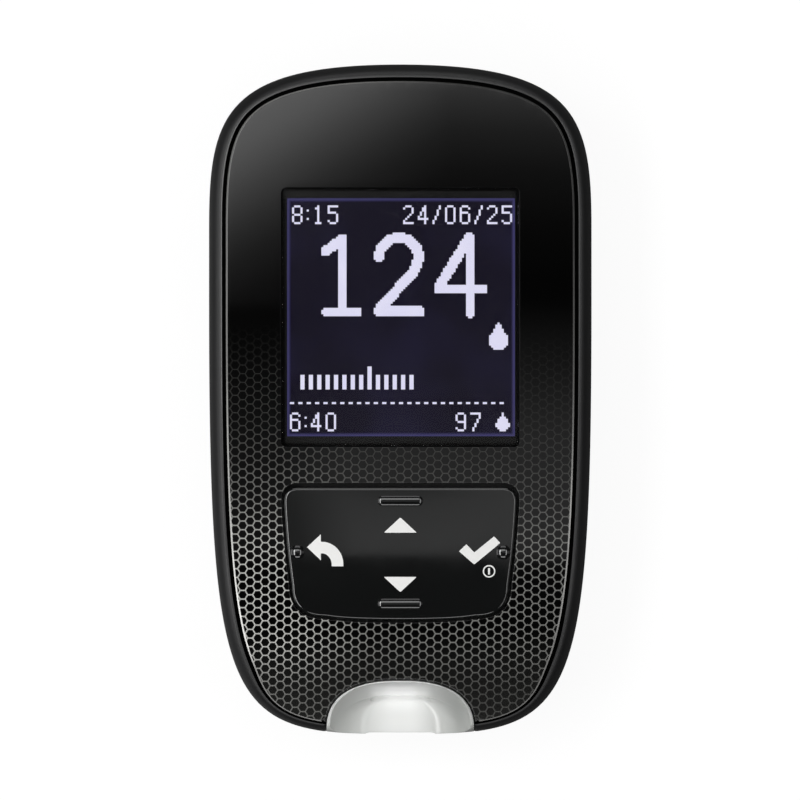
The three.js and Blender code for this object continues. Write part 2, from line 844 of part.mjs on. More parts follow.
// Rear cover: the back shell with the battery bay, screw bosses, ejector guides and ribs
function rearCover() {
  const lip_inset = wall - lip_thickness;
  const lip_top = parting_z + lip_height;
  const skin = [
    ...rearRings(0, back_round_inset, 0).slice(0, -1),
    ring(case_outline, parting_z - seam_bevel),
    ring(offset(case_outline, seam_bevel), parting_z),
    ring(offset(case_outline, lip_inset), parting_z),
    ring(offset(case_outline, lip_inset), lip_top),
    ring(offset(case_outline, wall), lip_top),
    ...rearRings(wall, back_round_inset - wall / 2, wall).reverse(),
  ];
  const bay_low_y = bay_center_y - bay_half_length;
  const bay_high_y = bay_center_y + bay_half_length;
  const bay_outer_x = bay_half_width + bay_wall;
  const tongue_low_y = bay_low_y - bay_wall - tongue_length;
  const tongue_top = door_top + tongue_wall_height + running_clearance;
  const tongue_pocket_x = tongue_half_width + running_clearance;
  const added = [
    block(
      at(-bay_outer_x, bay_low_y - bay_wall, 0),
      at(bay_outer_x, bay_high_y + bay_wall, bay_top),
    ),
    block(
      at(-tongue_pocket_x - tongue_pocket_wall, tongue_low_y - tongue_pocket_wall, 0),
      at(tongue_pocket_x + tongue_pocket_wall, bay_low_y, tongue_top + tongue_pocket_wall),
    ),
    ...ejectorGuides(),
  ];
  screw_places.forEach((place_) => {
    added.push(post(place_.x, place_.y, boss_radius, wall / 2, board_bottom - seat_gap));
    added.push(post(place_.x, place_.y, boss_foot_radius, 0, screw_seat_z + boss_foot_height));
  });
  const core = prism(offset(case_outline, wall), parting_z - cut_overrun, board_bottom);
  const full = joined([rear_form, core]);
  const door_outline = doorOutline(-running_clearance);
  const tongue_outline = roundedBox(
    0, tongue_low_y + tongue_length, tongue_pocket_x, tongue_length + running_clearance, small_corner,
  );
  const cuts = [
    prism(door_outline, -cut_overrun, door_top + seat_gap),
    block(at(-bay_half_width, bay_low_y, 0), at(bay_half_width, bay_high_y, bay_ceiling)),
    prism(tongue_outline, -cut_overrun, tongue_top).subtract(block(
      at(-bay_outer_x, bay_low_y - bay_wall, door_top + seat_gap),
      at(bay_outer_x, bay_high_y, bay_top),
    )),
    thumbNotch(tongue_low_y),
    portLipCut(),
    socketOpening(),
    ...buttonCuts(),
  ];
  [-lug_x, lug_x].forEach((x) => {
    const half = lug_half_width + running_clearance;
    cuts.push(block(
      at(x - half, bay_high_y - cut_overrun, door_top + seat_gap),
      at(x + half, bay_high_y + bay_wall + cut_overrun, door_top + seat_gap + lug_slot_height),
    ));
  });
  cell_places.forEach((y) => {
    const half = contact_half_width + contact_slot_margin;
    const tail_y = y - leaf_tail_from_cell;
    const slot_x = bay_half_width + clip_stand_off + contact_slot_margin;
    cuts.push(block(
      at(-half, tail_y - contact_slot_margin * 2, bay_ceiling - cut_overrun),
      at(half, tail_y + contact_slot_margin * 2, bay_top + cut_overrun),
    ));
    cuts.push(block(
      at(bay_half_width - cut_overrun, y - half, door_top + seat_gap),
      at(slot_x, y + half, bay_top + cut_overrun),
    ));
  });
  screw_places.forEach((place_) => {
    const head_room = screw_head_radius + running_clearance;
    const shank_room = screw_shank_radius + running_clearance;
    cuts.push(post(place_.x, place_.y, head_room, -cut_overrun, screw_seat_z));
    cuts.push(post(place_.x, place_.y, shank_room, 0, board_top, 12));
  });
  return joined([loft(skin), joined(added).intersect(full)]).subtract(joined(cuts));
}

// Nail notch in the back, beside the tongue of the battery door
function thumbNotch(tongueLowY) {
  return ball(0, tongueLowY, thumb_notch_depth - thumb_notch_radius, thumb_notch_radius, 16);
}

// The lip of the rear cover is left out where the strip port stands
function portLipCut() {
  const half = port_foot_half_width + running_clearance;
  return block(
    at(-half, -case_half_length - cut_overrun, parting_z),
    at(half, -case_half_length + port_length, board_top),
  );
}

// Battery door outline: a rounded oblong, grown by a clearance for its recess
function doorOutline(inset) {
  const half_width = bay_half_width + door_ledge;
  const half_length = bay_half_length + bay_wall / 2;
  return roundedBox(0, bay_center_y, half_width - inset, half_length - inset, door_corner);
}

function batteryDoor() {
  const end_y = bay_center_y + bay_half_length + bay_wall / 2;
  const foot_y = bay_center_y - bay_half_length - bay_wall / 2;
  const tongue_low_y = bay_center_y - bay_half_length - bay_wall - tongue_length;
  const wall_high_y = bay_center_y - bay_half_length - bay_wall - running_clearance;
  const tongue_outline = roundedBox(
    0, (tongue_low_y + foot_y + cut_overrun) / 2, tongue_half_width,
    (foot_y + cut_overrun - tongue_low_y) / 2, small_corner,
  );
  const added = [
    prism(doorOutline(0), door_recess, door_top),
    prism(tongue_outline, door_recess, door_top),
    block(
      at(-tongue_half_width + small_corner, wall_high_y - tongue_wall, door_recess),
      at(tongue_half_width - small_corner, wall_high_y, door_top + tongue_wall_height),
    ),
  ];
  [-lug_x, lug_x].forEach((x) => {
    const hook_low = door_top + seat_gap + running_clearance;
    const profile = [
      point(end_y - lug_root, door_recess),
      point(end_y - lug_root / 2, door_recess),
      point(end_y - lug_root / 2, hook_low),
      point(end_y + lug_length, hook_low),
      point(end_y + lug_length, hook_low + lug_thickness),
      point(end_y - lug_root, hook_low + lug_thickness),
    ];
    added.push(prismAlongX(profile, x - lug_half_width, x + lug_half_width));
  });
  const cuts = [-1, 1].map((side) => {
    const outer = tongue_half_width * side;
    const inner = (tongue_half_width + tongue_slit) * side;
    return block(
      at(Math.min(outer, inner), foot_y - cut_overrun, -cut_overrun),
      at(Math.max(outer, inner), foot_y + tongue_slit_length, door_top + cut_overrun),
    );
  });
  for (let groove = 0; groove < grip_groove_count; groove += 1) {
    const y = foot_y + tongue_slit_length + (groove + 1) * grip_groove_pitch;
    cuts.push(prismAlongX([
      point(y - grip_groove_width / 2, 0),
      point(y + grip_groove_width / 2, 0),
      point(y, door_recess + grip_groove_depth),
    ], -grip_groove_half_length, grip_groove_half_length));
  }
  return joined(added).subtract(joined(cuts));
}

// Front plate: crowned, printed, with the window, the key opening and the notch for the strip port
function frontPlate() {
  const edge = offset(case_outline, rim_round_inset + groove_width);
  const shoulder = offset(edge, plate_edge_round);
  const skin = [
    ...crownRings(crown_outline, 0).reverse(),
    ring(shoulder, frontHeight(0)),
    ring(edge, frontHeight(plate_edge_round)),
    ring(edge, frontHeight(plate_thickness)),
    ...crownRings(crown_outline, plate_thickness),
  ];
  const flange_top = plate_thickness - lens_flange_thickness - seat_gap;
  const flange_room = offset(window_outline, lens_gap - lens_flange_width - running_clearance);
  const cuts = [
    prism(window_outline, 0, high_above),
    prism(key_opening, 0, high_above),
    prism(archOutline(port_gap), 0, high_above),
    crownLayer(flange_room, flange_top, plate_thickness + seat_gap / 2),
  ];
  return loft(skin).subtract(joined(cuts));
}

// Display lens: flush in the window, with a flange trapped between the plate and the deck
function displayLens() {
  const face = offset(window_outline, lens_gap);
  const flange = offset(window_outline, lens_gap - lens_flange_width);
  const flange_top = plate_thickness - lens_flange_thickness;
  const skirt = crownLayer(flange, flange_top, plate_thickness);
  return crownLayer(face, lens_recess, plate_thickness).add(skirt);
}

// Display stack: glass and backlight in a white holder that stands on the circuit board
function displayHolder() {
  const room_x = glass_half_width + seat_gap;
  const room_y = glass_half_length + seat_gap;
  const outer = roundedBox(0, window_center_y, room_x + holder_wall, room_y + holder_wall, holder_wall);
  const ribbon_z = glass_low + ribbon_rise_above_glass_back;
  const slot_x = ribbon_half_width + running_clearance;
  const body = prism(outer, holder_low, holder_top);
  return body.subtract(joined([
    block(
      at(-room_x, window_center_y - room_y, holder_low + holder_floor),
      at(room_x, window_center_y + room_y, holder_top + cut_overrun),
    ),
    block(
      at(-slot_x, window_center_y - room_y - holder_wall - cut_overrun, ribbon_z - ribbon_slot_height / 2),
      at(slot_x, window_center_y - glass_half_length, ribbon_z + ribbon_slot_height / 2),
    ),
  ]));
}

function displayRibbon() {
  const start_y = window_center_y - glass_half_length - seat_gap;
  const ribbon_z = glass_low + ribbon_rise_above_glass_back;
  const wall_y = start_y - seat_gap - holder_wall;
  const down_y = wall_y - ribbon_socket_to_holder - ribbon_socket_depth / 2;
  const into_socket = board_top + ribbon_socket_height / 2;
  const fold = (wall_y - down_y) / 2;
  const line = [
    point(start_y, ribbon_z),
    point(wall_y - fold / 2, ribbon_z),
    point(down_y + fold / 4, ribbon_z - fold / 2),
    point(down_y, ribbon_z - fold),
    point(down_y, into_socket),
  ];
  return prismAlongX(stripOutline(line, ribbon_thickness), -ribbon_half_width, ribbon_half_width);
}

function ribbonSocket() {
  const wall_y = window_center_y - glass_half_length - seat_gap - seat_gap - holder_wall;
  const high_y = wall_y - ribbon_socket_to_holder;
  const middle_y = high_y - ribbon_socket_depth / 2;
  const slit = ribbon_thickness / 2 + seat_gap;
  const top = board_top + ribbon_socket_height;
  const floor = board_top + ribbon_socket_height / 2 - seat_gap;
  const body = block(
    at(-ribbon_socket_half_width, high_y - ribbon_socket_depth, board_top),
    at(ribbon_socket_half_width, high_y, top),
  );
  return body.subtract(block(
    at(-ribbon_half_width - seat_gap, middle_y - slit, floor),
    at(ribbon_half_width + seat_gap, middle_y + slit, top + cut_overrun),
  ));
}

// Key cap: crowned shell with a retaining flange, four posts over the domes and a ball socket
function keyCap() {
  const cap = offset(key_opening, key_groove);
  const top = (x, y) => {
    const dx = x / key_top_half_width;
    const dy = (y - key_center_y) / key_half_length;
    const pillow = key_pillow * Math.max(0, 1 - dx * dx) * Math.max(0, 1 - dy * dy);
    return frontHeight(-key_proud)(x, y) + pillow;
  };
  const flange_low = flangeTop() - key_flange_thickness;
  const shoulder = offset(cap, key_edge_round);
  const skin = [
    ring(cap, flange_low),
    ring(cap, (x, y) => top(x, y) - key_edge_round),
    ring(offset(cap, key_edge_round / 4), (x, y) => top(x, y) - key_edge_round / 4),
    ring(shoulder, top),
    ...key_ring_shares.map((share) => ring(scaledOutline(shoulder, share, key_middle), top)),
    ring([key_middle], top),
  ];
  const inner = offset(cap, key_shell);
  const ceiling = (x, y) => frontHeight(key_shell)(x, y);
  const hollow = loft([
    ring(inner, flange_low - cut_overrun),
    ring(inner, ceiling),
    ...key_ring_shares.map((share) => ring(scaledOutline(inner, share, key_middle), ceiling)),
    ring([key_middle], ceiling),
  ]);
  const flange = prism(offset(key_opening, -key_flange_width), flange_low, flangeTop());
  const room = ball_radius + seat_gap;
  const under = rim_z + crown_rise - key_shell;
  const posts = dome_places.map(
    (place_) => post(place_.x, place_.y, key_post_radius, key_post_low, under, 12),
  );
  const socket = post(0, key_center_y, room + ball_socket_wall, ball_z - socket_lip_below_ball, under);
  const marks = [-1, 1].flatMap((side) => {
    const rib_y = key_center_y + side * key_half_length * key_rib_y_share;
    const rib_length = (key_rib_half_length - key_rib_radius) * 2;
    const rib = new THREE.CapsuleGeometry(key_rib_radius, rib_length, 3, 10);
    rib.rotateZ(Math.PI / 2);
    rib.translate(0, rib_y, top(0, rib_y) - key_mark_sink);
    const dot_x = side * key_top_half_width * key_dot_x_share;
    const dot = ball(dot_x, key_center_y, top(dot_x, key_center_y) - key_mark_sink, key_dot_radius, 10);
    return [solid(rib), dot];
  });
  const shell = joined([loft(skin), flange]).subtract(hollow);
  const inside = joined([...posts, socket]);
  return joined([shell, inside, ...marks]).subtract(ball(0, key_center_y, ball_z, room, 12));
}

// The flange stays under the lowest part of the deck around the key opening
function flangeTop() {
  const heights = offset(key_opening, -key_flange_width).map(
    (corner) => frontHeight(deck_bottom_depth)(corner.x, corner.y),
  );
  return Math.min(...heights) - key_flange_gap;
}

// Ball pivot: its stem stands in the circuit board, its ball carries the key cap
function keyPivot() {
  const stem = post(0, key_center_y, ball_stem_radius, board_top - ball_stem_depth, ball_z, 12);
  return stem.add(ball(0, key_center_y, ball_z, ball_radius, 12));
}

function keyMat() {
  const outline = offset(key_opening, key_groove + mat_inset);
  const sheet = prism(outline, mat_low, mat_top);
  const hole = post(0, key_center_y, mat_hole_radius, mat_low - cut_overrun, mat_top + cut_overrun);
  return sheet.subtract(hole);
}

function snapDome() {
  const profile = [
    point(dome_radius - dome_thickness, 0),
    point(dome_radius, 0),
    point(dome_radius * dome_shoulder_share, dome_rise * dome_shoulder_rise_share),
    point(0, dome_rise),
    point(0, dome_rise - dome_thickness),
    point(dome_radius * dome_inner_share, (dome_rise - dome_thickness) * dome_inner_rise_share),
    point(dome_radius - dome_thickness, 0),
  ];
  return turned(profile, 12);
}

// Strip port: white light guide with a scooped top, a channel for the strip and a slot at its end
function stripPort() {
  const center_y = port_center_inset - case_half_length;
  const base_low = parting_z + seat_gap;
  const full = loft(front_form.full);
  const slot_y = strip_slot_from_end - case_half_length;
  const neck_y = port_neck_from_end - case_half_length;
  const neck_top = strip_floor + strip_slot_height + port_neck_roof;
  const foot_y = port_foot_from_end - case_half_length;
  const foot_outline = offset(case_outline, wall + running_clearance);
  const foot_plan = prism(foot_outline, base_low, base_low + port_foot_height);
  const foot = block(
    at(-port_foot_half_width, -case_half_length, base_low),
    at(port_foot_half_width, foot_y, base_low + port_foot_height),
  ).intersect(foot_plan);
  const neck = block(
    at(-port_neck_half_width, slot_y, strip_floor - strip_plane_above_board),
    at(port_neck_half_width, neck_y, neck_top),
  );
  const body = prism(archOutline(0), base_low, high_above).intersect(full);
  const bowl_top = rim_z - port_bowl_top_below_rim;
  const bowl_plan = bowlOutline();
  const bowl_center = point(0, center_y);
  const bowl = loft([
    ring(bowl_plan, high_above),
    ...port_bowl_plan_shares.map((share, index) => ring(
      scaledOutline(bowl_plan, share, bowl_center),
      bowl_top - port_bowl_depth * port_bowl_depth_shares[index],
    )),
    ring([bowl_center], bowl_top - port_bowl_depth),
  ]);
  const flare_x = strip_slot_half_width + strip_flare;
  const end_y = -case_half_length - cut_overrun;
  const flare_y = strip_flare_length - case_half_length;
  const channel = prism([
    point(-flare_x, end_y),
    point(flare_x, end_y),
    point(strip_slot_half_width, flare_y),
    point(strip_slot_half_width, slot_y),
    point(-strip_slot_half_width, slot_y),
    point(-strip_slot_half_width, flare_y),
  ], strip_floor, high_above);
  const slot = block(
    at(-strip_slot_half_width, end_y, strip_floor),
    at(strip_slot_half_width, neck_y + cut_overrun, strip_floor + strip_slot_height),
  );
  const mouth = block(
    at(-flare_x, end_y, 0),
    at(flare_x, strip_mouth_recess - case_half_length, strip_floor + cut_overrun),
  );
  return joined([body, foot, neck]).subtract(joined([bowl, channel, slot, mouth]));
}

// Plan of the scoop: the whole superellipse inside the rim of the port
function bowlOutline() {
  const center_y = port_center_inset - case_half_length;
  const points = [];
  for (let step = 0; step < port_steps * 2; step += 1) {
    const angle = (step / port_steps) * Math.PI;
    const cosine = Math.cos(angle);
    const sine = Math.sin(angle);
    const x = (port_half_width - port_rim) * Math.sign(cosine) * Math.abs(cosine) ** (2 / port_power);
    const y = (port_length - port_rim) * Math.sign(sine) * Math.abs(sine) ** (2 / port_power);
    points.push(point(x, center_y + y));
  }
  return points;
}

// Strip connector behind the port, with comb grooves for its contacts and slots for the prongs
const connector_front_y = port_neck_from_end + connector_gap - case_half_length;
const connector_back_y = connector_front_y + connector_length;
const strip_stop_y = connector_front_y + connector_strip_depth;

function contactX(index) {
  return (index - (contact_count - 1) / 2) * contact_pitch;
}

function prongSlots(low, high, margin) {
  const back_y = strip_stop_y + prong_length + margin;
  const front_y = strip_stop_y - button_travel * wedge_slope - margin;
  return [-1, 1].map((side) => {
    const inner = (prong_inner_x - margin) * side;
    const outer = (prong_outer_x + margin) * side;
    return block(
      at(Math.min(inner, outer), front_y, low),
      at(Math.max(inner, outer), Math.max(back_y, connector_back_y + margin), high),
    );
  });
}

function stripConnector() {
  const body = block(
    at(-connector_half_width, connector_front_y, board_top),
    at(connector_half_width, connector_back_y, board_top + connector_height),
  );
  const cuts = [block(
    at(-strip_slot_half_width, connector_front_y - cut_overrun, strip_floor),
    at(strip_slot_half_width, strip_stop_y, strip_floor + connector_strip_height),
  )];
  for (let index = 0; index < contact_count; index += 1) {
    const x = contactX(index);
    cuts.push(block(
      at(x - comb_width / 2, connector_front_y + comb_front, strip_floor),
      at(x + comb_width / 2, connector_back_y + cut_overrun, strip_floor + comb_height),
    ));
  }
  const slot_top = strip_floor + connector_strip_height;
  cuts.push(...prongSlots(board_top - cut_overrun, slot_top, running_clearance));
  return body.subtract(joined(cuts));
}

function stripContact() {
  const low = board_top + wire_thickness / 2;
  const top = strip_floor + comb_height - wire_thickness;
  const touch = strip_floor + connector_strip_height / 2;
  const line = [
    point(connector_back_y + contact_tail_length, low + contact_tail_rise),
    point(connector_back_y + wire_width / 2, low + contact_tail_rise),
    point(connector_back_y + wire_width / 4, top - contact_knee_drop),
    point(connector_back_y - wire_width, top),
    point(strip_stop_y - contact_touch_from_stop, touch),
    point(connector_front_y + comb_front + wire_width, touch + wire_width),
  ];
  return prismAlongX(stripOutline(line, wire_thickness), -wire_width / 2, wire_width / 2);
}

// Circuit board: follows the case, with a tab for the data socket and a bay for the strip port
function circuitBoard() {
  const tab_y = case_half_length - board_tab_end_inset;
  const outline = prism(offset(case_outline, board_inset), board_bottom, board_top);
  const tab = block(
    at(-board_tab_half_width, 0, board_bottom),
    at(board_tab_half_width, tab_y, board_top),
  );
  const cuts = [
    block(
      at(-port_foot_half_width - seat_gap, -case_half_length, 0),
      at(port_foot_half_width + seat_gap, connector_front_y, board_top + cut_overrun),
    ),
    post(0, key_center_y, ball_stem_radius + seat_gap * 2, 0, board_top + cut_overrun, 12),
    ...prongSlots(0, board_top + cut_overrun, running_clearance),
  ];
  screw_places.forEach((place_) => {
    cuts.push(post(place_.x, place_.y, screw_shank_radius + running_clearance, 0, high_above, 12));
  });
  return joined([outline, tab]).subtract(joined(cuts));
}

// Coin cell: the smaller lid faces the board, the can faces the door
function coinCell() {
  const profile = [
    point(0, 0),
    point(cell_radius - cell_round, 0),
    point(cell_radius, cell_round),
    point(cell_radius, cell_rim_height),
    point(cell_lid_radius, cell_rim_height + cell_round),
    point(cell_lid_radius - cell_round, cell_height),
    point(0, cell_height),
  ];
  return turned(profile, 24);
}

// Negative leaf: hangs through the roof of the bay and bows down onto the lid of its cell
function negativeContact(y) {
  const roof_z = bay_ceiling - contact_thickness;
  const line = [
    point(y - leaf_tail_from_cell, board_bottom - seat_gap),
    point(y - leaf_tail_from_cell, roof_z),
    point(y - leaf_foot_from_cell, roof_z - contact_thickness / 2),
    point(y + leaf_foot_from_cell, cell_top + contact_thickness),
    point(y + leaf_tip_from_cell, cell_top + leaf_rise),
  ];
  return prismAlongX(stripOutline(line, contact_thickness), -contact_half_width, contact_half_width);
}

// Positive clip: stands in the side wall of the bay and bows against the can of its cell
function positiveContact(y) {
  const wall_x = cell_radius + cell_side_clearance + clip_stand_off;
  const bow_x = cell_radius + contact_thickness / 2 + seat_gap;
  const line = [
    point(wall_x, board_bottom - seat_gap),
    point(wall_x, cell_low + clip_bow_height + clip_tip_out * 2),
    point(bow_x, cell_low + clip_bow_height),
    point(bow_x + clip_tip_out, cell_low + clip_tip_height),
  ];
  const outline = stripOutline(line, contact_thickness);
  return prismAlongY(outline, y - contact_half_width, y + contact_half_width);
}

// Case screw, standing on its head
function caseScrew() {
  const profile = [
    point(0, -screw_head_height),
    point(screw_head_radius, -screw_head_height),
    point(screw_head_radius, 0),
    point(screw_shank_radius, 0),
    point(screw_shank_radius, screw_length - screw_point),
    point(0, screw_length),
  ];
  const cross = [0, Math.PI / 2].map((angle) => {
    const slot = new THREE.BoxGeometry(screw_cross_length, screw_cross_width, screw_cross_depth * 2);
    slot.rotateZ(angle);
    slot.translate(0, 0, -screw_head_height);
    return solid(slot);
  });
  return turned(profile, 12).subtract(joined(cross));
}

// Ejector: places shared by the button, the pusher and the guides of the rear cover
const button_flange_x = button_flange_from_side - case_half_width;
const wedge_top_y = button_center_y + button_rod_half_width;
const wedge_low_y = wedge_top_y - wedge_length;
const wedge_foot_x = wedge_tip_x - wedge_length / wedge_slope;
const rod_low_z = button_low_z + button_rod_drop;
const pusher_high = board_bottom - pusher_below_board;
const pusher_low = pusher_high - pusher_thickness;
const tab_back_y = wedge_top_y;
const tab_front_y = tab_back_y - spring_tab_thickness;
const anchor_y = tab_front_y - spring_length;
const spring_z = pusher_low - spring_tab_drop / 2;

function buttonCuts() {
  const low_y = button_center_y - button_half_length;
  const high_y = button_center_y + button_half_length;
  const margin = button_flange_margin + running_clearance;
  const hole = block(
    at(-case_half_width - cut_overrun, low_y - running_clearance, button_low_z - running_clearance),
    at(button_flange_x + cut_overrun, high_y + running_clearance,
      button_low_z + button_height + running_clearance),
  );
  const flange_room = block(
    at(button_flange_x, low_y - margin, button_low_z - margin),
    at(button_flange_x + button_flange + button_travel + running_clearance * 2, high_y + margin,
      button_low_z + button_height + margin),
  );
  return [hole, flange_room];
}

function ejectorGuides() {
  const low_y = button_center_y - button_half_length - button_block_margin;
  const high_y = button_center_y + button_half_length + button_block_margin;
  const frame = block(
    at(-case_half_width, low_y, 0),
    at(button_flange_x, high_y, button_low_z + button_height + button_block_margin),
  );
  const rib_front_y = anchor_y - rib_length_beyond;
  const guide_x = pusher_half_width + guide_rib_gap;
  const guide = block(
    at(guide_x, rib_front_y, 0),
    at(guide_x + guide_rib_width, tab_back_y, pusher_high),
  );
  const carriers = [-1, 1].map((side) => {
    const inner = carry_rib_inner_x * side;
    const outer = (carry_rib_inner_x + guide_rib_width) * side;
    return block(
      at(Math.min(inner, outer), rib_front_y, 0),
      at(Math.max(inner, outer), tab_back_y, pusher_low - seat_gap),
    );
  });
  const anchor = block(
    at(-carry_rib_inner_x - guide_rib_width / 2, anchor_y - anchor_rib_width, 0),
    at(carry_rib_inner_x + guide_rib_width / 2, anchor_y, pusher_low - seat_gap),
  );
  return [frame, guide, ...carriers, anchor];
}

function ejectorButton() {
  const low_y = button_center_y - button_half_length;
  const high_y = button_center_y + button_half_length;
  const margin = button_flange_margin;
  const cap = block(
    at(-case_half_width - cut_overrun, low_y, button_low_z),
    at(button_flange_x + button_flange, high_y, button_low_z + button_height),
  ).intersect(rear_form.translate([-button_proud, 0, 0]));
  const flange = block(
    at(button_flange_x + running_clearance, low_y - margin, button_low_z - margin),
    at(button_flange_x + button_flange, high_y + margin, button_low_z + button_height + margin),
  );
  const rod = block(
    at(button_flange_x, button_center_y - button_rod_half_width, rod_low_z),
    at(wedge_back_x + button_rod_half_width, wedge_top_y, rod_low_z + button_height - button_rod_drop * 2),
  );
  const wedge = prism([
    point(wedge_back_x, wedge_top_y),
    point(wedge_back_x, wedge_low_y),
    point(wedge_foot_x, wedge_low_y),
    point(wedge_tip_x, wedge_top_y),
  ], rod_low_z, pusher_high - seat_gap);
  return joined([cap, flange, rod, wedge]);
}

function ejectorPusher() {
  const front_y = strip_stop_y + seat_gap;
  const shoulder_y = wedge_low_y + pusher_shoulder;
  const shoulder_x = wedge_tip_x - (wedge_top_y - shoulder_y) / wedge_slope + wedge_gap;
  const plate = prism([
    point(wedge_tip_x + wedge_gap, wedge_top_y),
    point(shoulder_x, shoulder_y),
    point(-pusher_half_width, front_y),
    point(pusher_half_width, front_y),
    point(pusher_half_width, wedge_top_y),
  ], pusher_low, pusher_high);
  const prongs = [-1, 1].map((side) => block(
    at(Math.min(prong_inner_x * side, prong_outer_x * side), front_y, pusher_low),
    at(Math.max(prong_inner_x * side, prong_outer_x * side), front_y + prong_length,
      strip_floor + prong_above_strip_floor),
  ));
  const tab = block(
    at(-spring_tab_half_width, tab_front_y, pusher_low - spring_tab_drop),
    at(spring_tab_half_width, tab_back_y, pusher_high),
  );
  return joined([plate, ...prongs, tab]);
}

// Return spring: one wire wound between the tab of the pusher and the anchor rib
class Helix extends THREE.Curve {
  getPoint(share, target = new THREE.Vector3()) {
    const length = spring_length - spring_end_gap * 2 - spring_wire_radius * 2;
    const angle = share * spring_turns * Math.PI * 2;
    const start_y = tab_front_y - spring_end_gap - spring_wire_radius;
    return target.set(
      spring_radius * Math.sin(angle), start_y - length * share, spring_z + spring_radius * Math.cos(angle),
    );
  }
}

function ejectorSpring() {
  const section = new THREE.Shape();
  section.absarc(0, 0, spring_wire_radius, 0, Math.PI * 2);
  const geometry = new THREE.ExtrudeGeometry(new THREE.Shape(outlineOf(section, 3)), {
    steps: spring_turns * spring_steps_per_turn, extrudePath: new Helix(),
  });
  return solid(geometry);
}

// Data socket: folded metal shell with a tongue, soldered under the board
const socket_front_y = case_half_length - socket_from_end;
const socket_back_y = socket_front_y - socket_depth;

function socketSection(inset) {
  const half = socket_half_width - inset;
  const low = board_bottom - socket_height + inset;
  const high = board_bottom - inset;
  return [
    point(-half + socket_chamfer, low),
    point(half - socket_chamfer, low),
    point(half, low + socket_chamfer),
    point(half, high),
    point(-half, high),
    point(-half, low + socket_chamfer),
  ];
}

function socketShell() {
  const outside = prismAlongY(socketSection(0), socket_back_y, socket_front_y);
  return outside.subtract(prismAlongY(
    socketSection(socket_wall), socket_back_y + socket_wall, socket_front_y + cut_overrun,
  ));
}

function socketTongue() {
  const middle = board_bottom - socket_height / 2;
  return block(
    at(
      -socket_tongue_half_width,
      socket_back_y + socket_wall + seat_gap / 2,
      middle - socket_tongue_thickness / 2,
    ),
    at(socket_tongue_half_width, socket_back_y + socket_wall + socket_tongue_length,
      middle + socket_tongue_thickness / 2),
  );
}

// Assembly
place('rear_cover', rearCover(), satin_case);
place('front_housing', frontHousing(), satin_case);
place('front_plate', frontPlate(), gloss_black);
place('display_lens', displayLens(), clear_window);

const display = new THREE.Group();
meter.add(display);
const glass_body = block(
  at(-glass_half_width, -glass_half_length, 0), at(glass_half_width, glass_half_length, glass_thickness),
);
const backlight_body = block(
  at(-glass_half_width, -glass_half_length, 0),
  at(glass_half_width, glass_half_length, backlight_thickness),
);
place('display_glass', glass_body, display_dark, display).position.set(0, window_center_y, glass_low);
place('display_backlight', backlight_body, white_film, display).position
  .set(0, window_center_y, backlight_low);
place('display_holder', displayHolder(), frame_white, display);
place('display_ribbon', displayRibbon(), film_amber, display);
place('ribbon_socket', ribbonSocket(), connector_black, display);

const keys = new THREE.Group();
meter.add(keys);
place('key_cap', keyCap(), key_black, keys);
place('key_pivot', keyPivot(), frame_white, keys);
place('key_mat', keyMat(), silicone_grey, keys);
dome_places.forEach((where, index) => {
  place(`snap_dome_${index + 1}`, snapDome(), steel, keys).position.set(where.x, where.y, board_top);
});

place('strip_port', stripPort(), port_white);
place('strip_connector', stripConnector(), connector_black);
for (let index = 0; index < contact_count; index += 1) {
  place(`strip_contact_${index + 1}`, stripContact(), spring_gold).position.x = contactX(index);
}
[-led_x, led_x].forEach((x, index) => {
  const body = block(
    at(-led_half_width, -led_half_length, 0),
    at(led_half_width, led_half_length, led_height),
  );
  const y = connector_front_y + led_from_port_y;
  place(`port_light_${index + 1}`, body, led_white).position.set(x, y, board_top);
});

place('circuit_board', circuitBoard(), board_green);
const under_board = new THREE.Group();
under_board.position.z = board_bottom;
meter.add(under_board);
const processor_body = block(
  at(-processor_size / 2, -processor_size / 2, -processor_height),
  at(processor_size / 2, processor_size / 2, 0),
);
const radio_body = block(
  at(-radio_size / 2, -radio_size / 2, -radio_height),
  at(radio_size / 2, radio_size / 2, 0),
);
const memory_body = block(
  at(-memory_half_width, -memory_half_length, -memory_height),
  at(memory_half_width, memory_half_length, 0),
);
const crystal_body = prismAlongX(
  roundedBox(0, -crystal_radius, crystal_radius, crystal_radius, crystal_radius * crystal_round_share),
  -crystal_length / 2, crystal_length / 2,
);
const beeper_body = post(0, 0, beeper_radius, -beeper_height, 0, 24).subtract(
  post(0, 0, beeper_hole_radius, -beeper_height - cut_overrun, -beeper_height / 2, 12),
);
const processor_half = processor_size / 2;
const processor_y = cell_places[0] + processor_beyond_first_cell;
const memory_x = -processor_half - memory_to_processor - memory_half_width;
const memory_y = processor_y + memory_beyond_processor;
const crystal_x = processor_half + crystal_to_processor + crystal_length / 2;
const radio_y = cell_places[1] + radio_beyond_second_cell;
const beeper_x = -contact_half_width - beeper_to_contact - beeper_radius;
const beeper_y = processor_y - processor_half - beeper_to_processor - beeper_radius;
place('processor', processor_body, chip_black, under_board).position.y = processor_y;
place('radio_module', radio_body, steel, under_board).position.y = radio_y;
place('memory_chip', memory_body, chip_black, under_board).position.set(memory_x, memory_y, 0);
place('clock_crystal', crystal_body, steel, under_board).position.set(crystal_x, memory_y, 0);
place('beeper', beeper_body, chip_black, under_board).position.set(beeper_x, beeper_y, 0);

place('usb_shell', socketShell(), steel);
place('usb_tongue', socketTongue(), chip_black);

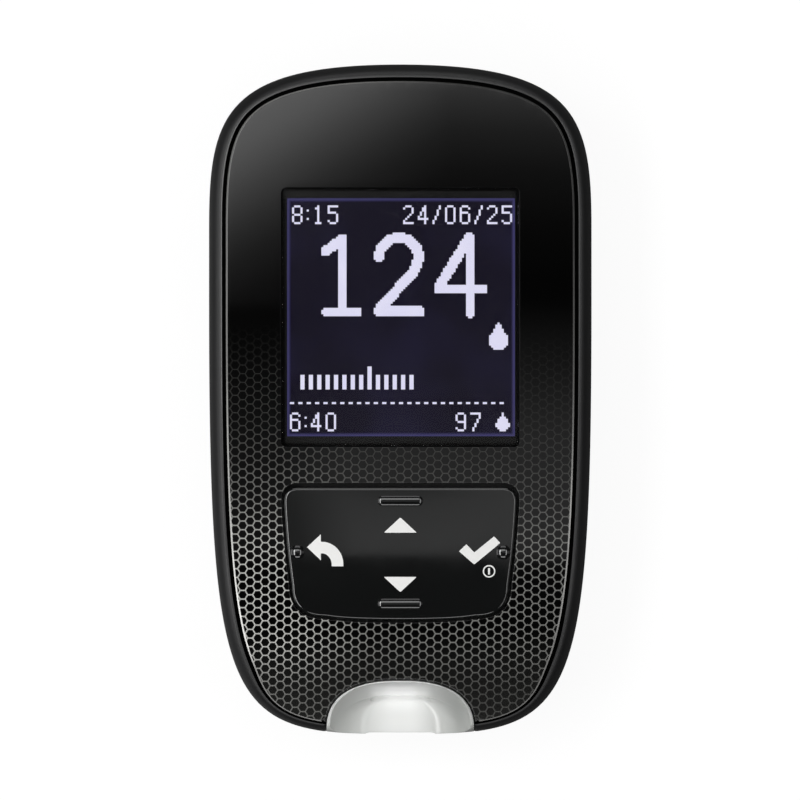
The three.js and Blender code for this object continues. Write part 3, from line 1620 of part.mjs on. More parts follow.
cell_places.forEach((y, index) => {
  place(`battery_cell_${index + 1}`, coinCell(), cell_steel).position.set(0, y, cell_low);
  place(`negative_contact_${index + 1}`, negativeContact(y), steel);
  place(`positive_contact_${index + 1}`, positiveContact(y), steel);
});
place('battery_door', batteryDoor(), satin_case);

screw_places.forEach((where, index) => {
  place(`case_screw_${index + 1}`, caseScrew(), screw_zinc).position.set(where.x, where.y, screw_seat_z);
});

place('ejector_button', ejectorButton(), satin_case);
place('ejector_pusher', ejectorPusher(), lever_white);
place('ejector_spring', ejectorSpring(), steel);

export default meter;
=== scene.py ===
"""Looks of a pocket blood glucose meter that lies on its back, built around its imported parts.

Metres. +Z comes out of the display, +Y is the display end, and the test strip goes in at the -Y end.
"""
import math

import bmesh
import bpy
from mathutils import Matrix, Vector


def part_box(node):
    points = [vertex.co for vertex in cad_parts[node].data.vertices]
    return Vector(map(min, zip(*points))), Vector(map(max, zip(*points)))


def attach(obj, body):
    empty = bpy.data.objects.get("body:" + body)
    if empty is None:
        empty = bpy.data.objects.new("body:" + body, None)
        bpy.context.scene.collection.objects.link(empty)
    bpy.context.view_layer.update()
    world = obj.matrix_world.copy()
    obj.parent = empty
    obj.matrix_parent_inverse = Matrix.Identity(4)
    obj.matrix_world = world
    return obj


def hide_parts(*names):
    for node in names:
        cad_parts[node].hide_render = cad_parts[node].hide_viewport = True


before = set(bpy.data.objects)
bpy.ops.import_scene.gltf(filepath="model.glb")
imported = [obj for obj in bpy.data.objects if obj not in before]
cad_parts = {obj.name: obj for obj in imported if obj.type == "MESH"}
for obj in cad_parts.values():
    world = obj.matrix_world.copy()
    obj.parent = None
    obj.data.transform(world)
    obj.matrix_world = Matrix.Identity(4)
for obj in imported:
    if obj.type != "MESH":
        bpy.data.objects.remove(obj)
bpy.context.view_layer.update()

MM = 0.001
TAU = math.tau

# Case: two shells that meet at the parting line
CASE_HALF_WIDTH = 23.2 * MM
CASE_HALF_LENGTH = 40.65 * MM
PARTING_Z = 10.5 * MM
WALL = 1.6 * MM
SEAM_BEVEL = 0.15 * MM
BACK_ROUND_INSET = 6.5 * MM
OUTLINE_POINTS = 288

# Outline of the case, as shares of its half width and half length
SIDE_TOP_SHARE = 0.5215
SIDE_FOOT_SHARE = 0.3124
TOP_SIDE_HANDLE_SHARE = 0.8494
TOP_END_HANDLE_SHARE = 0.9194
FOOT_SIDE_HANDLE_SHARE = -0.9545
FOOT_END_HANDLE_SHARE = 0.9138

# Crowned front with its rounded rim, and the slope at the strip end
RIM_Z = 18.9 * MM
RIM_ROUND_INSET = 1.6 * MM
RIM_ROUND_HEIGHT = 3.2 * MM
RIM_EDGE_ROUND = 0.12 * MM
GROOVE_WIDTH = 0.49 * MM
PLATE_EDGE_ROUND = 0.2 * MM
PLATE_TIP_ROUND = 0.55 * MM
PLATE_BORDER = 0.16 * MM
RIM_NARROWS_AT = -32.5 * MM
RIM_NARROWS_OVER = 8 * MM
RIM_FOOT_NARROWING = 0.43
CROWN_RISE = 1.1 * MM
PLATE_THICKNESS = 1.4 * MM
DECK_DEPTH = 1.5 * MM
DECK_THICKNESS = 1.0 * MM
NOSE_LENGTH = 16 * MM
NOSE_DROP = 2.2 * MM

# Window and display
WINDOW_HALF_WIDTH = 14.45 * MM
WINDOW_HALF_LENGTH = 15.72 * MM
WINDOW_Y = 9.98 * MM
WINDOW_CORNER = 0.7 * MM
LENS_GAP = 0.18 * MM
LENS_RECESS = 0.12 * MM
LCD_LEFT = -13.6 * MM
LCD_TOP = 24.3 * MM
LCD_PIXEL = 0.2535 * MM
LCD_COLUMNS = 108
LCD_ROWS = 113
LCD_WIDTH = LCD_PIXEL * LCD_COLUMNS
LCD_HEIGHT = LCD_PIXEL * LCD_ROWS
LCD_MARGIN = 0.08 * MM
MASK_THICKNESS = 0.1 * MM

# Key cap
KEY_Y = -18.48 * MM
KEY_HALF_LENGTH = 8.37 * MM
KEY_TOP_HALF_WIDTH = 14.4 * MM
KEY_FOOT_HALF_WIDTH = 13.45 * MM
KEY_TOP_CORNER = 2.1 * MM
KEY_FOOT_CORNER = 4.4 * MM
KEY_FOOT_BOW = 0.3 * MM
KEY_SIDE_BOW = 0.25 * MM
KEY_GROOVE = 0.26 * MM
KEY_TOP_SHRINK = 0.22 * MM
KEY_PROUD = 0.2 * MM
KEY_PILLOW = 0.1 * MM
KEY_EDGE_ROUND = 0.34 * MM
KEY_FLANGE_WIDTH = 0.4 * MM
KEY_FLANGE_LOW = 15.21 * MM
KEY_FLANGE_THICKNESS = 0.7 * MM
KEY_RIB_HALF_LENGTH = 2.75 * MM
KEY_RIB_RADIUS = 0.65 * MM
KEY_RIB_HEIGHT = 0.23 * MM
KEY_RIB_PLACE = 0.744
KEY_DOT_RADIUS = 0.91 * MM
KEY_DOT_HEIGHT = 0.42 * MM
KEY_DOT_PLACE = 0.865
INK_THICKNESS = 0.02 * MM

# Strip port
PORT_Y = -40.2 * MM
PORT_HALF_WIDTH = 8.95 * MM
PORT_LENGTH = 6.14 * MM
PORT_POWER = 2.5
PORT_GAP = 0.12 * MM
PORT_RIM = 0.16 * MM
PORT_LOW = 10.6 * MM
PORT_ROOM_HALF_WIDTH = 10.75 * MM
PORT_ROOM_BACK_Y = -34.5 * MM
PORT_ROOM_TOP = 12.4 * MM
BOWL_TOP = 18.1 * MM
BOWL_NARROWING = 0.58
BOWL_SHORTENING = 0.275
STRIP_FLOOR = 12.9 * MM
STRIP_FLOOR_STEP = 0.08 * MM
SLOT_HALF_WIDTH = 3.6 * MM
SLOT_FRONT_Y = -36.6 * MM
SLOT_BACK_Y = -33 * MM
SLOT_STEP = 0.1 * MM
SLOT_HEIGHT = 1.4 * MM
MOUTH_HALF_WIDTH = 5.3 * MM
MOUTH_END_Y = -40.9 * MM
MOUTH_RISE = 0.5 * MM
MOUTH_RUN = 1.7 * MM

# Opening for the data socket, at the display end
SOCKET_HALF_WIDTH = 4.25 * MM
SOCKET_LOW = 8.45 * MM
SOCKET_TOP = 11.9 * MM
SOCKET_CORNER = 0.9 * MM

# Battery door with its tongue, and the bay behind it
DOOR_HALF_WIDTH = 11.1 * MM
DOOR_HALF_LENGTH = 21.95 * MM
DOOR_Y = 9.5 * MM
DOOR_CORNER = 1.2 * MM
DOOR_LOW = 0.15 * MM
DOOR_TOP = 1.45 * MM
DOOR_GAP = 0.15 * MM
TONGUE_END_Y = -16.1 * MM
TONGUE_HALF_WIDTH = 4.5 * MM
TONGUE_CORNER = 0.5 * MM
TONGUE_WALL_HALF_WIDTH = 4 * MM
TONGUE_WALL_FRONT_Y = -14.1 * MM
TONGUE_WALL_BACK_Y = -13.4 * MM
TONGUE_WALL_TOP = 3.55 * MM
SLIT_WIDTH = 0.5 * MM
SLIT_LENGTH = 3.5 * MM
SLIT_CORNER = 0.24 * MM
GRIP_START = 4.9 * MM
GRIP_PITCH = 1.4 * MM
GRIP_HALF_LENGTH = 5 * MM
GRIP_HALF_WIDTH = 0.3 * MM
GRIP_CORNER = 0.28 * MM
LUG_X = 6 * MM
LUG_HALF_WIDTH = 1.5 * MM
LUG_REACH = 1.35 * MM
LUG_TOP = 2.55 * MM
THUMB_NOTCH_RADIUS = 4.8 * MM
THUMB_NOTCH_Z = -4.0 * MM
POCKET_HALF_WIDTH = 4.65 * MM
POCKET_TOP = 3.7 * MM
POCKET_WALL = 1.0 * MM
BAY_HALF_WIDTH = 10.4 * MM
BAY_FOOT_Y = -11.65 * MM
BAY_HEAD_Y = 30.65 * MM
BAY_CEILING = 5.75 * MM
BAY_CEILING_THICKNESS = 1.2 * MM
BAY_CORNER = 0.5 * MM
OPENING_ROUND = 0.1 * MM

# Case screws
SCREW_HEAD_LOW = 1.4 * MM
SCREW_SEAT = 2.6 * MM
SCREW_TIP = 15.1 * MM
SCREW_HEAD_RADIUS = 1.7 * MM
SCREW_SHANK_RADIUS = 0.93 * MM
SCREW_WELL_RADIUS = 1.85 * MM
SCREW_BOSS_RADIUS = 2.7 * MM
SCREW_CROSS = (1.0 * MM, 0.24 * MM)
SCREWS = [
    ('case_screw_1', 15 * MM, 29.5 * MM),
    ('case_screw_2', -15 * MM, 29.5 * MM),
    ('case_screw_3', 14.2 * MM, -28 * MM),
    ('case_screw_4', -14.2 * MM, -28 * MM),
]

# Ejector button, on the left side
BUTTON_Y = -20.5 * MM
BUTTON_HALF_LENGTH = 3.5 * MM
BUTTON_GAP = 0.15 * MM
BUTTON_INNER_X = -16.8 * MM
BUTTON_CORNER = 0.45 * MM
BUTTON_HOLE_INNER_X = -17.6 * MM
BUTTON_HOLE_CORNER = 0.5 * MM
BUTTON_RIB_RADIUS = 0.3 * MM
BUTTON_RIB_LENGTH = 1.8 * MM
BUTTON_RIB_PITCH = 1.5 * MM
BUTTON_RIB_SUNK = 0.17 * MM
BUTTON_LOW = 2.5 * MM
BUTTON_TOP = 5.6 * MM
BUTTON_PROUD = 0.7 * MM

# How far the cutting tools reach past what they cut
FLAT_REACH = 9 * MM
CASE_CUT = (9 * MM, 22 * MM)
CASE_END = 42 * MM

# Thin bands along the edges of the rim and the plate
TRIM_LIFT = 0.004 * MM
TRIM_DEPTH = 0.3 * MM


# Shapes in plan

def cubic(start, leave, arrive, end, share):
    rest = 1 - share
    return (start * rest ** 3 + leave * 3 * rest ** 2 * share
            + arrive * 3 * rest * share ** 2 + end * share ** 3)


def quadratic(start, pull, end, share):
    rest = 1 - share
    return start * rest ** 2 + pull * 2 * rest * share + end * share ** 2


def eased(share):
    """A share from 0 to 1 that sets off and arrives softly."""
    return share * share * (3 - 2 * share)


def quarter_turn(steps):
    """Angles from nothing to a quarter turn."""
    return [step / steps * math.pi / 2 for step in range(steps + 1)]


def evenly(points, count):
    """The same closed line with evenly spaced points."""
    closed = points + [points[0]]
    lengths = [0.0]
    for first, second in zip(closed, closed[1:]):
        lengths.append(lengths[-1] + (second - first).length)
    result = []
    index = 0
    for step in range(count):
        goal = lengths[-1] * step / count
        while lengths[index + 1] < goal:
            index += 1
        span = lengths[index + 1] - lengths[index]
        share = (goal - lengths[index]) / span if span else 0
        result.append(closed[index].lerp(closed[index + 1], share))
    return result


def case_outline():
    """The case seen from the front, anticlockwise from the middle of its display end."""
    w = CASE_HALF_WIDTH
    l = CASE_HALF_LENGTH
    top_handles = (Vector((w * TOP_END_HANDLE_SHARE, l)), Vector((w, l * TOP_SIDE_HANDLE_SHARE)))
    foot_handles = (Vector((w, l * FOOT_SIDE_HANDLE_SHARE)), Vector((w * FOOT_END_HANDLE_SHARE, -l)))
    right = []
    for step in range(400):
        right.append(cubic(Vector((0, l)), *top_handles, Vector((w, l * SIDE_TOP_SHARE)), step / 400))
    for step in range(400):
        start = Vector((w, l * SIDE_FOOT_SHARE))
        right.append(cubic(start, *foot_handles, Vector((0, -l)), step / 400))
    left = [Vector((-p.x, p.y)) for p in reversed(right[1:])]
    clockwise = right + [Vector((0, -l))] + left
    return evenly([clockwise[0]] + clockwise[:0:-1], OUTLINE_POINTS)


def inset(points, distance):
    """A closed anticlockwise line moved inwards."""
    result = []
    for index, here in enumerate(points):
        along = points[(index + 1) % len(points)] - points[index - 1]
        result.append(here + Vector((-along.y, along.x)).normalized() * distance)
    return result


CASE = case_outline()


def rim_line(distance):
    """A line inside the outline of the case, drawn in less at the foot, where the rim narrows."""
    result = []
    for place, full in zip(CASE, inset(CASE, distance)):
        into = min(max((RIM_NARROWS_AT - place.y) / RIM_NARROWS_OVER, 0), 1)
        result.append(place.lerp(full, 1 - RIM_FOOT_NARROWING * eased(into)))
    return result


CROWN = rim_line(RIM_ROUND_INSET)
CROWN_HALF_WIDTH = CASE_HALF_WIDTH - RIM_ROUND_INSET
CROWN_HALF_LENGTH = CASE_HALF_LENGTH - RIM_ROUND_INSET


def crown_rise(x, y):
    """Rise of the front over its rim, bowed across and along the case."""
    return CROWN_RISE * (1 - (x / CROWN_HALF_WIDTH) ** 2 - (y / CROWN_HALF_LENGTH) ** 2)


def lowered(z, y):
    """Heights above the parting line drop along the nose of the case."""
    into = max(0, NOSE_LENGTH - CASE_HALF_LENGTH - y) / NOSE_LENGTH
    share = min(max((z - PARTING_Z) / (RIM_Z - PARTING_Z), 0), 1)
    return z - NOSE_DROP * into * into * share


def front_height(x, y):
    return lowered(RIM_Z + crown_rise(x, y), y)


def rim_ring(distance, z):
    """A line round the case at its distance from the outline, raised with the edge of the crown."""
    ring = []
    for place, edge in zip(rim_line(distance), CROWN):
        ring.append(Vector((place.x, place.y, lowered(z + crown_rise(edge.x, edge.y), place.y))))
    return ring


def key_outline():
    """The key opening, anticlockwise: straight top, sides that lean in, large corners at the foot."""
    top = KEY_Y + KEY_HALF_LENGTH
    foot = KEY_Y - KEY_HALF_LENGTH
    side_foot = foot + KEY_FOOT_CORNER
    side_top = top - KEY_TOP_CORNER
    middle_x = (KEY_TOP_HALF_WIDTH + KEY_FOOT_HALF_WIDTH) / 2 + KEY_SIDE_BOW
    corner_y = foot + KEY_FOOT_BOW
    right = []
    curves = [
        ((0, foot - KEY_FOOT_BOW / 2), (KEY_FOOT_HALF_WIDTH * 0.5, foot - KEY_FOOT_BOW / 2),
         (KEY_FOOT_HALF_WIDTH - KEY_FOOT_CORNER, corner_y)),
        ((KEY_FOOT_HALF_WIDTH - KEY_FOOT_CORNER, corner_y), (KEY_FOOT_HALF_WIDTH, corner_y),
         (KEY_FOOT_HALF_WIDTH, side_foot)),
        ((KEY_FOOT_HALF_WIDTH, side_foot), (middle_x, (side_top + side_foot) / 2),
         (KEY_TOP_HALF_WIDTH, side_top)),
        ((KEY_TOP_HALF_WIDTH, side_top), (KEY_TOP_HALF_WIDTH, top),
         (KEY_TOP_HALF_WIDTH - KEY_TOP_CORNER, top)),
    ]
    for start, pull, end in curves:
        for step in range(60):
            right.append(quadratic(Vector(start), Vector(pull), Vector(end), step / 60))
    right.append(Vector((KEY_TOP_HALF_WIDTH - KEY_TOP_CORNER, top)))
    left = [Vector((-p.x, p.y)) for p in reversed(right[1:])]
    return evenly(right + left, 220)


def oblong(half_width, half_length, middle_y, corner):
    """A rounded oblong on the middle line of the case, anticlockwise."""
    points = []
    for quarter, (side_x, side_y) in enumerate(((1, 1), (-1, 1), (-1, -1), (1, -1))):
        corner_x = side_x * (half_width - corner)
        corner_y = middle_y + side_y * (half_length - corner)
        for step in range(9):
            angle = (quarter + step / 8) * math.pi / 2
            points.append(Vector((
                corner_x + corner * math.cos(angle),
                corner_y + corner * math.sin(angle),
            )))
    return points


def window_outline(grow):
    return oblong(WINDOW_HALF_WIDTH + grow, WINDOW_HALF_LENGTH + grow, WINDOW_Y, WINDOW_CORNER + grow)


def circle(x, y, radius):
    angles = [step / 40 * TAU for step in range(40)]
    return [Vector((x + radius * math.cos(angle), y + radius * math.sin(angle))) for angle in angles]


def port_curve(angle, half_width, length):
    """Across and along, a place on the curve of the port, which is fuller than an ellipse."""
    cosine = math.cos(angle)
    sine = math.sin(angle)
    return (half_width * math.copysign(abs(cosine) ** (2 / PORT_POWER), cosine),
            length * math.copysign(abs(sine) ** (2 / PORT_POWER), sine))


def arch_outline(grow, tip=None):
    """The strip port seen from the front, open at the end of the case, with rounded tips for the plate."""
    end_y = -CASE_HALF_LENGTH - 1.5 * MM
    side = PORT_HALF_WIDTH + grow
    right = [Vector((side, end_y))]
    if tip:
        tip_x, tip_y, radius = tip
        right = [Vector((tip_x, end_y))]
        for angle in quarter_turn(8):
            right.append(Vector((tip_x - radius * math.sin(angle), tip_y - radius * math.cos(angle))))
    points = [Vector((-p.x, p.y)) for p in reversed(right)] + right
    for step in range(73):
        x, y = port_curve(step / 72 * math.pi, PORT_HALF_WIDTH + grow, PORT_LENGTH + grow)
        points.append(Vector((x, PORT_Y + y)))
    return points


# Work at the bench

def select_none():
    bpy.ops.object.select_all(action='DESELECT')


def take(piece):
    """Makes one piece the only selected and active one."""
    select_none()
    piece.select_set(True)
    bpy.context.view_layer.objects.active = piece


def started(name):
    piece = bpy.context.object
    piece.name = name
    piece.data.name = name
    return piece


def at_height(points, height):
    return [Vector((p.x, p.y, height(p.x, p.y) if callable(height) else height)) for p in points]


def raised(name, rings, open_form=False):
    """A form drawn from its first outline through the others, one extrusion after another."""
    select_none()
    fill = 'NOTHING' if open_form else 'NGON'
    bpy.ops.mesh.primitive_circle_add(vertices=len(rings[0]), radius=MM, fill_type=fill)
    piece = started(name)
    bpy.ops.object.mode_set(mode='EDIT')
    mesh = bmesh.from_edit_mesh(piece.data)
    mesh.verts.ensure_lookup_table()
    place = mesh.verts.layers.int.new('place')
    for index, vertex in enumerate(mesh.verts):
        vertex[place] = index
        vertex.co = rings[0][index]
    bmesh.update_edit_mesh(piece.data)
    for points in rings[1:]:
        bpy.ops.mesh.extrude_region_move()
        mesh = bmesh.from_edit_mesh(piece.data)
        place = mesh.verts.layers.int['place']
        for vertex in mesh.verts:
            if vertex.select:
                vertex.co = points[vertex[place]]
        bmesh.update_edit_mesh(piece.data)
    if open_form:
        bpy.ops.mesh.select_non_manifold()
        bpy.ops.mesh.bridge_edge_loops()
    bpy.ops.mesh.select_all(action='SELECT')
    bpy.ops.mesh.normals_make_consistent(inside=False)
    bpy.ops.object.mode_set(mode='OBJECT')
    return piece


def prism(name, points, low, high):
    return raised(name, [at_height(points, low), at_height(points, high)])


def rounded_block(name, low, high, corner=0, segments=8, axis='Z'):
    """A cube stretched between two corners, with the edges along one axis rounded."""
    select_none()
    bpy.ops.mesh.primitive_cube_add(size=2)
    piece = started(name)
    for vertex in piece.data.vertices:
        for side in range(3):
            vertex.co[side] = (low[side] + high[side]) / 2 + vertex.co[side] * (high[side] - low[side]) / 2
    if corner:
        along = 'XYZ'.index(axis)
        bpy.ops.object.mode_set(mode='EDIT')
        bpy.ops.mesh.select_all(action='DESELECT')
        mesh = bmesh.from_edit_mesh(piece.data)
        for edge in mesh.edges:
            line = edge.verts[1].co - edge.verts[0].co
            edge.select_set(abs(line[along]) > line.length * 0.99)
        bmesh.update_edit_mesh(piece.data)
        bpy.ops.mesh.bevel(offset=corner, segments=segments, affect='EDGES')
        bpy.ops.object.mode_set(mode='OBJECT')
    return piece


def drum(name, x, y, low, high, radius, sides=48):
    select_none()
    bpy.ops.mesh.primitive_cylinder_add(
        vertices=sides, radius=radius, depth=high - low, location=(x, y, (low + high) / 2))
    piece = started(name)
    bpy.ops.object.transform_apply(location=True)
    return piece


def finish_modifier(piece, kind, **settings):
    take(piece)
    modifier = piece.modifiers.new(kind.lower(), kind)
    for key, value in settings.items():
        setattr(modifier, key, value)
    bpy.ops.object.modifier_apply(modifier=modifier.name)


def cut(piece, *tools, operation='DIFFERENCE'):
    for tool in tools:
        finish_modifier(piece, 'BOOLEAN', object=tool, operation=operation, solver='EXACT')
        bpy.data.objects.remove(tool, do_unlink=True)


def soften(piece, width, segments, wanted, angle=30):
    """Rounds those sharp edges of a piece that are wanted."""
    take(piece)
    bpy.ops.object.mode_set(mode='EDIT')
    bpy.ops.mesh.select_all(action='DESELECT')
    bpy.ops.mesh.select_mode(type='EDGE')
    mesh = bmesh.from_edit_mesh(piece.data)
    mesh.normal_update()
    for edge in mesh.edges:
        sharp = len(edge.link_faces) == 2 and edge.calc_face_angle(0) > math.radians(angle)
        middle = (edge.verts[0].co + edge.verts[1].co) / 2
        line = edge.verts[1].co - edge.verts[0].co
        edge.select_set(sharp and wanted(middle, line))
    bmesh.update_edit_mesh(piece.data)
    bpy.ops.mesh.bevel(offset=width, segments=segments, affect='EDGES', clamp_overlap=False)
    bpy.ops.mesh.select_mode(type='VERT')
    bpy.ops.object.mode_set(mode='OBJECT')


def sliced(piece, spacing):
    """Cuts the flat faces of a piece into a grid, so that it can be bent."""
    xs = [v.co.x for v in piece.data.vertices]
    ys = [v.co.y for v in piece.data.vertices]
    take(piece)
    bpy.ops.object.mode_set(mode='EDIT')
    for axis, low, high in ((0, min(xs), max(xs)), (1, min(ys), max(ys))):
        count = max(1, round((high - low) / spacing))
        for step in range(1, count):
            place = [0, 0, 0]
            normal = [0, 0, 0]
            place[axis] = low + (high - low) * step / count + 0.0007 * MM
            normal[axis] = 1
            bpy.ops.mesh.select_all(action='SELECT')
            bpy.ops.mesh.bisect(plane_co=place, plane_no=normal)
    bpy.ops.object.mode_set(mode='OBJECT')


def bend(piece, height):
    """Lifts a flat, smoothed piece by the height of the form under it, and leans its shading."""
    mesh = piece.data
    step = 0.05 * MM
    slopes = []
    for vertex in mesh.vertices:
        x = vertex.co.x
        y = vertex.co.y
        slopes.append((
            (height(x + step, y) - height(x - step, y)) / (2 * step),
            (height(x, y + step) - height(x, y - step)) / (2 * step),
        ))
    leaned = []
    for face in mesh.polygons:
        level = abs(face.normal.z) > 0.9995
        for index in face.loop_indices:
            along_x, along_y = slopes[mesh.loops[index].vertex_index]
            flat = face.normal if level else mesh.corner_normals[index].vector
            lean = Vector((flat.x - along_x * flat.z, flat.y - along_y * flat.z, flat.z))
            leaned.append(lean.normalized())
    for vertex in mesh.vertices:
        vertex.co.z += height(vertex.co.x, vertex.co.y)
    mesh.normals_split_custom_set(leaned)


def smooth(piece, angle=38, weighted=True):
    take(piece)
    bpy.ops.object.shade_smooth_by_angle(angle=math.radians(angle))
    if weighted:
        finish_modifier(piece, 'WEIGHTED_NORMAL', mode='FACE_AREA', weight=80, keep_sharp=True)


def laid(piece, spacing, height, weighted=True):
    """Lays a flat piece on the form under it: sliced as finely as it has to bend, smoothed, and bent."""
    sliced(piece, spacing)
    smooth(piece, weighted=weighted)
    bend(piece, height)


def copy_of(piece, name, dx, dy):
    twin = piece.copy()
    twin.data = piece.data.copy()
    twin.name = name
    twin.data.name = name
    bpy.context.scene.collection.objects.link(twin)
    for vertex in twin.data.vertices:
        vertex.co += Vector((dx, dy, 0))
    return twin


def fit_out(piece, body, material, slot, *nodes):
    """Hands a finished piece to the body that carries it."""
    piece.data.materials.clear()
    piece.data.materials.append(material)
    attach(piece, body)
    if nodes:
        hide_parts(*nodes)


# Materials

def colour(hexadecimal):
    """An sRGB hex colour as the linear values that the shaders take."""
    values = [int(hexadecimal[start:start + 2], 16) / 255 for start in (1, 3, 5)]
    return tuple(v / 12.92 if v <= 0.04045 else ((v + 0.055) / 1.055) ** 2.4 for v in values) + (1.0,)


def add(tree, kind, settings=None, **sockets):
    """Adds a node with its settings, and links or sets its inputs by name, or by number as in_0."""
    node = tree.nodes.new(kind)
    for key, value in (settings or {}).items():
        setattr(node, key, value)
    for key, value in sockets.items():
        socket = node.inputs[int(key[3:])] if key.startswith('in_') else node.inputs[key.replace('_', ' ')]
        if isinstance(value, bpy.types.NodeSocket):
            tree.links.new(value, socket)
        else:
            socket.default_value = value
    return node


def finish(name, **sockets):
    """A new material whose shader has the given constants."""
    material = bpy.data.materials.new(name)
    material.use_nodes = True
    tree = material.node_tree
    shader = tree.nodes['Principled BSDF']
    for key, value in sockets.items():
        shader.inputs[key.replace('_', ' ')].default_value = value
    return material, tree, shader


def grain(tree, shader, size, strength, roughness, spread):
    """Moulded texture: fine bumps of one size, and a roughness that wanders around its value."""
    place = add(tree, 'ShaderNodeTexCoord').outputs['Object']
    fine = add(tree, 'ShaderNodeTexNoise', Vector=place, Scale=1 / size, Detail=2.0, Roughness=0.5)
    bump = add(tree, 'ShaderNodeBump', Height=fine.outputs['Fac'], Strength=strength, Distance=0.05 * MM)
    tree.links.new(bump.outputs['Normal'], shader.inputs['Normal'])
    broad = add(tree, 'ShaderNodeTexNoise', Vector=place, Scale=1 / (size * 40), Detail=3.0)
    wander = add(tree, 'ShaderNodeMapRange', Value=broad.outputs['Fac'],
                 From_Min=0.3, From_Max=0.7, To_Min=roughness - spread, To_Max=roughness + spread)
    tree.links.new(wander.outputs['Result'], shader.inputs['Roughness'])
    return place


def follows(tree, value, stops, ease='LINEAR'):
    """The amount that belongs to a value, by stops of value and amount in rising order."""
    low = stops[0][0]
    high = stops[-1][0]
    peak = max(amount for place, amount in stops)
    share = add(tree, 'ShaderNodeMapRange', Value=value, From_Min=low, From_Max=high)
    ramp = add(tree, 'ShaderNodeValToRGB', Fac=share.outputs['Result'])
    ramp.color_ramp.interpolation = ease
    elements = ramp.color_ramp.elements
    for place, amount in stops[1:-1]:
        elements.new((place - low) / (high - low))
    for stop, (place, amount) in zip(elements, stops):
        stop.color = (amount / peak, amount / peak, amount / peak, 1)
    scaled = add(tree, 'ShaderNodeMath', {'operation': 'MULTIPLY'}, in_0=ramp.outputs['Color'], in_1=peak)
    return scaled.outputs[0]


def abs_spark_eroded():
    """ABS, moulded in a spark-eroded tool: dark, satin, with a fine even grain."""
    material, tree, shader = finish('abs_spark_eroded', Base_Color=colour('#121213'), IOR=1.5)
    grain(tree, shader, 0.16 * MM, 0.12, 0.46, 0.03)
    return material


def abs_painted_rim_highlight():
    """The same ABS, painted paler along the inner edge of the rim as a painted highlight: brightest at the
    upper left, where the light falls most.
    """
    material, tree, shader = finish('abs_painted_rim_highlight', IOR=1.5)
    place = grain(tree, shader, 0.16 * MM, 0.06, 0.4, 0.03)
    axes = add(tree, 'ShaderNodeSeparateXYZ', Vector=place)
    along = follows(tree, axes.outputs['Y'], [
        (-20 * MM, 0.12), (-8 * MM, 0.12), (0.0, 0.75), (5 * MM, 1.0), (30 * MM, 1.0), (38 * MM, 0.5)])
    across = follows(tree, axes.outputs['X'], [
        (-20 * MM, 1.0), (-10 * MM, 0.6), (10 * MM, 0.2), (20 * MM, 0.25)])
    level = add(tree, 'ShaderNodeMath', {'operation': 'MULTIPLY'}, in_0=along, in_1=across)
    # Painted highlight: dark grey where little light falls, pale grey at the upper left
    paint = add(tree, 'ShaderNodeMix', {'data_type': 'RGBA'},
                in_0=level.outputs[0], in_6=colour('#161617'), in_7=colour('#6a6a6a'))
    tree.links.new(paint.outputs[2], shader.inputs['Base Color'])
    return material


def deck_painted_groove_shade():
    """The floor under the front plate, made near black and matt as painted shade, so that the grooves round
    the plate and the keys read black.
    """
    material, tree, shader = finish('deck_painted_groove_shade', Base_Color=colour('#060606'), Specular_IOR_Level=0.05)
    grain(tree, shader, 0.2 * MM, 0.3, 0.9, 0.05)
    return material


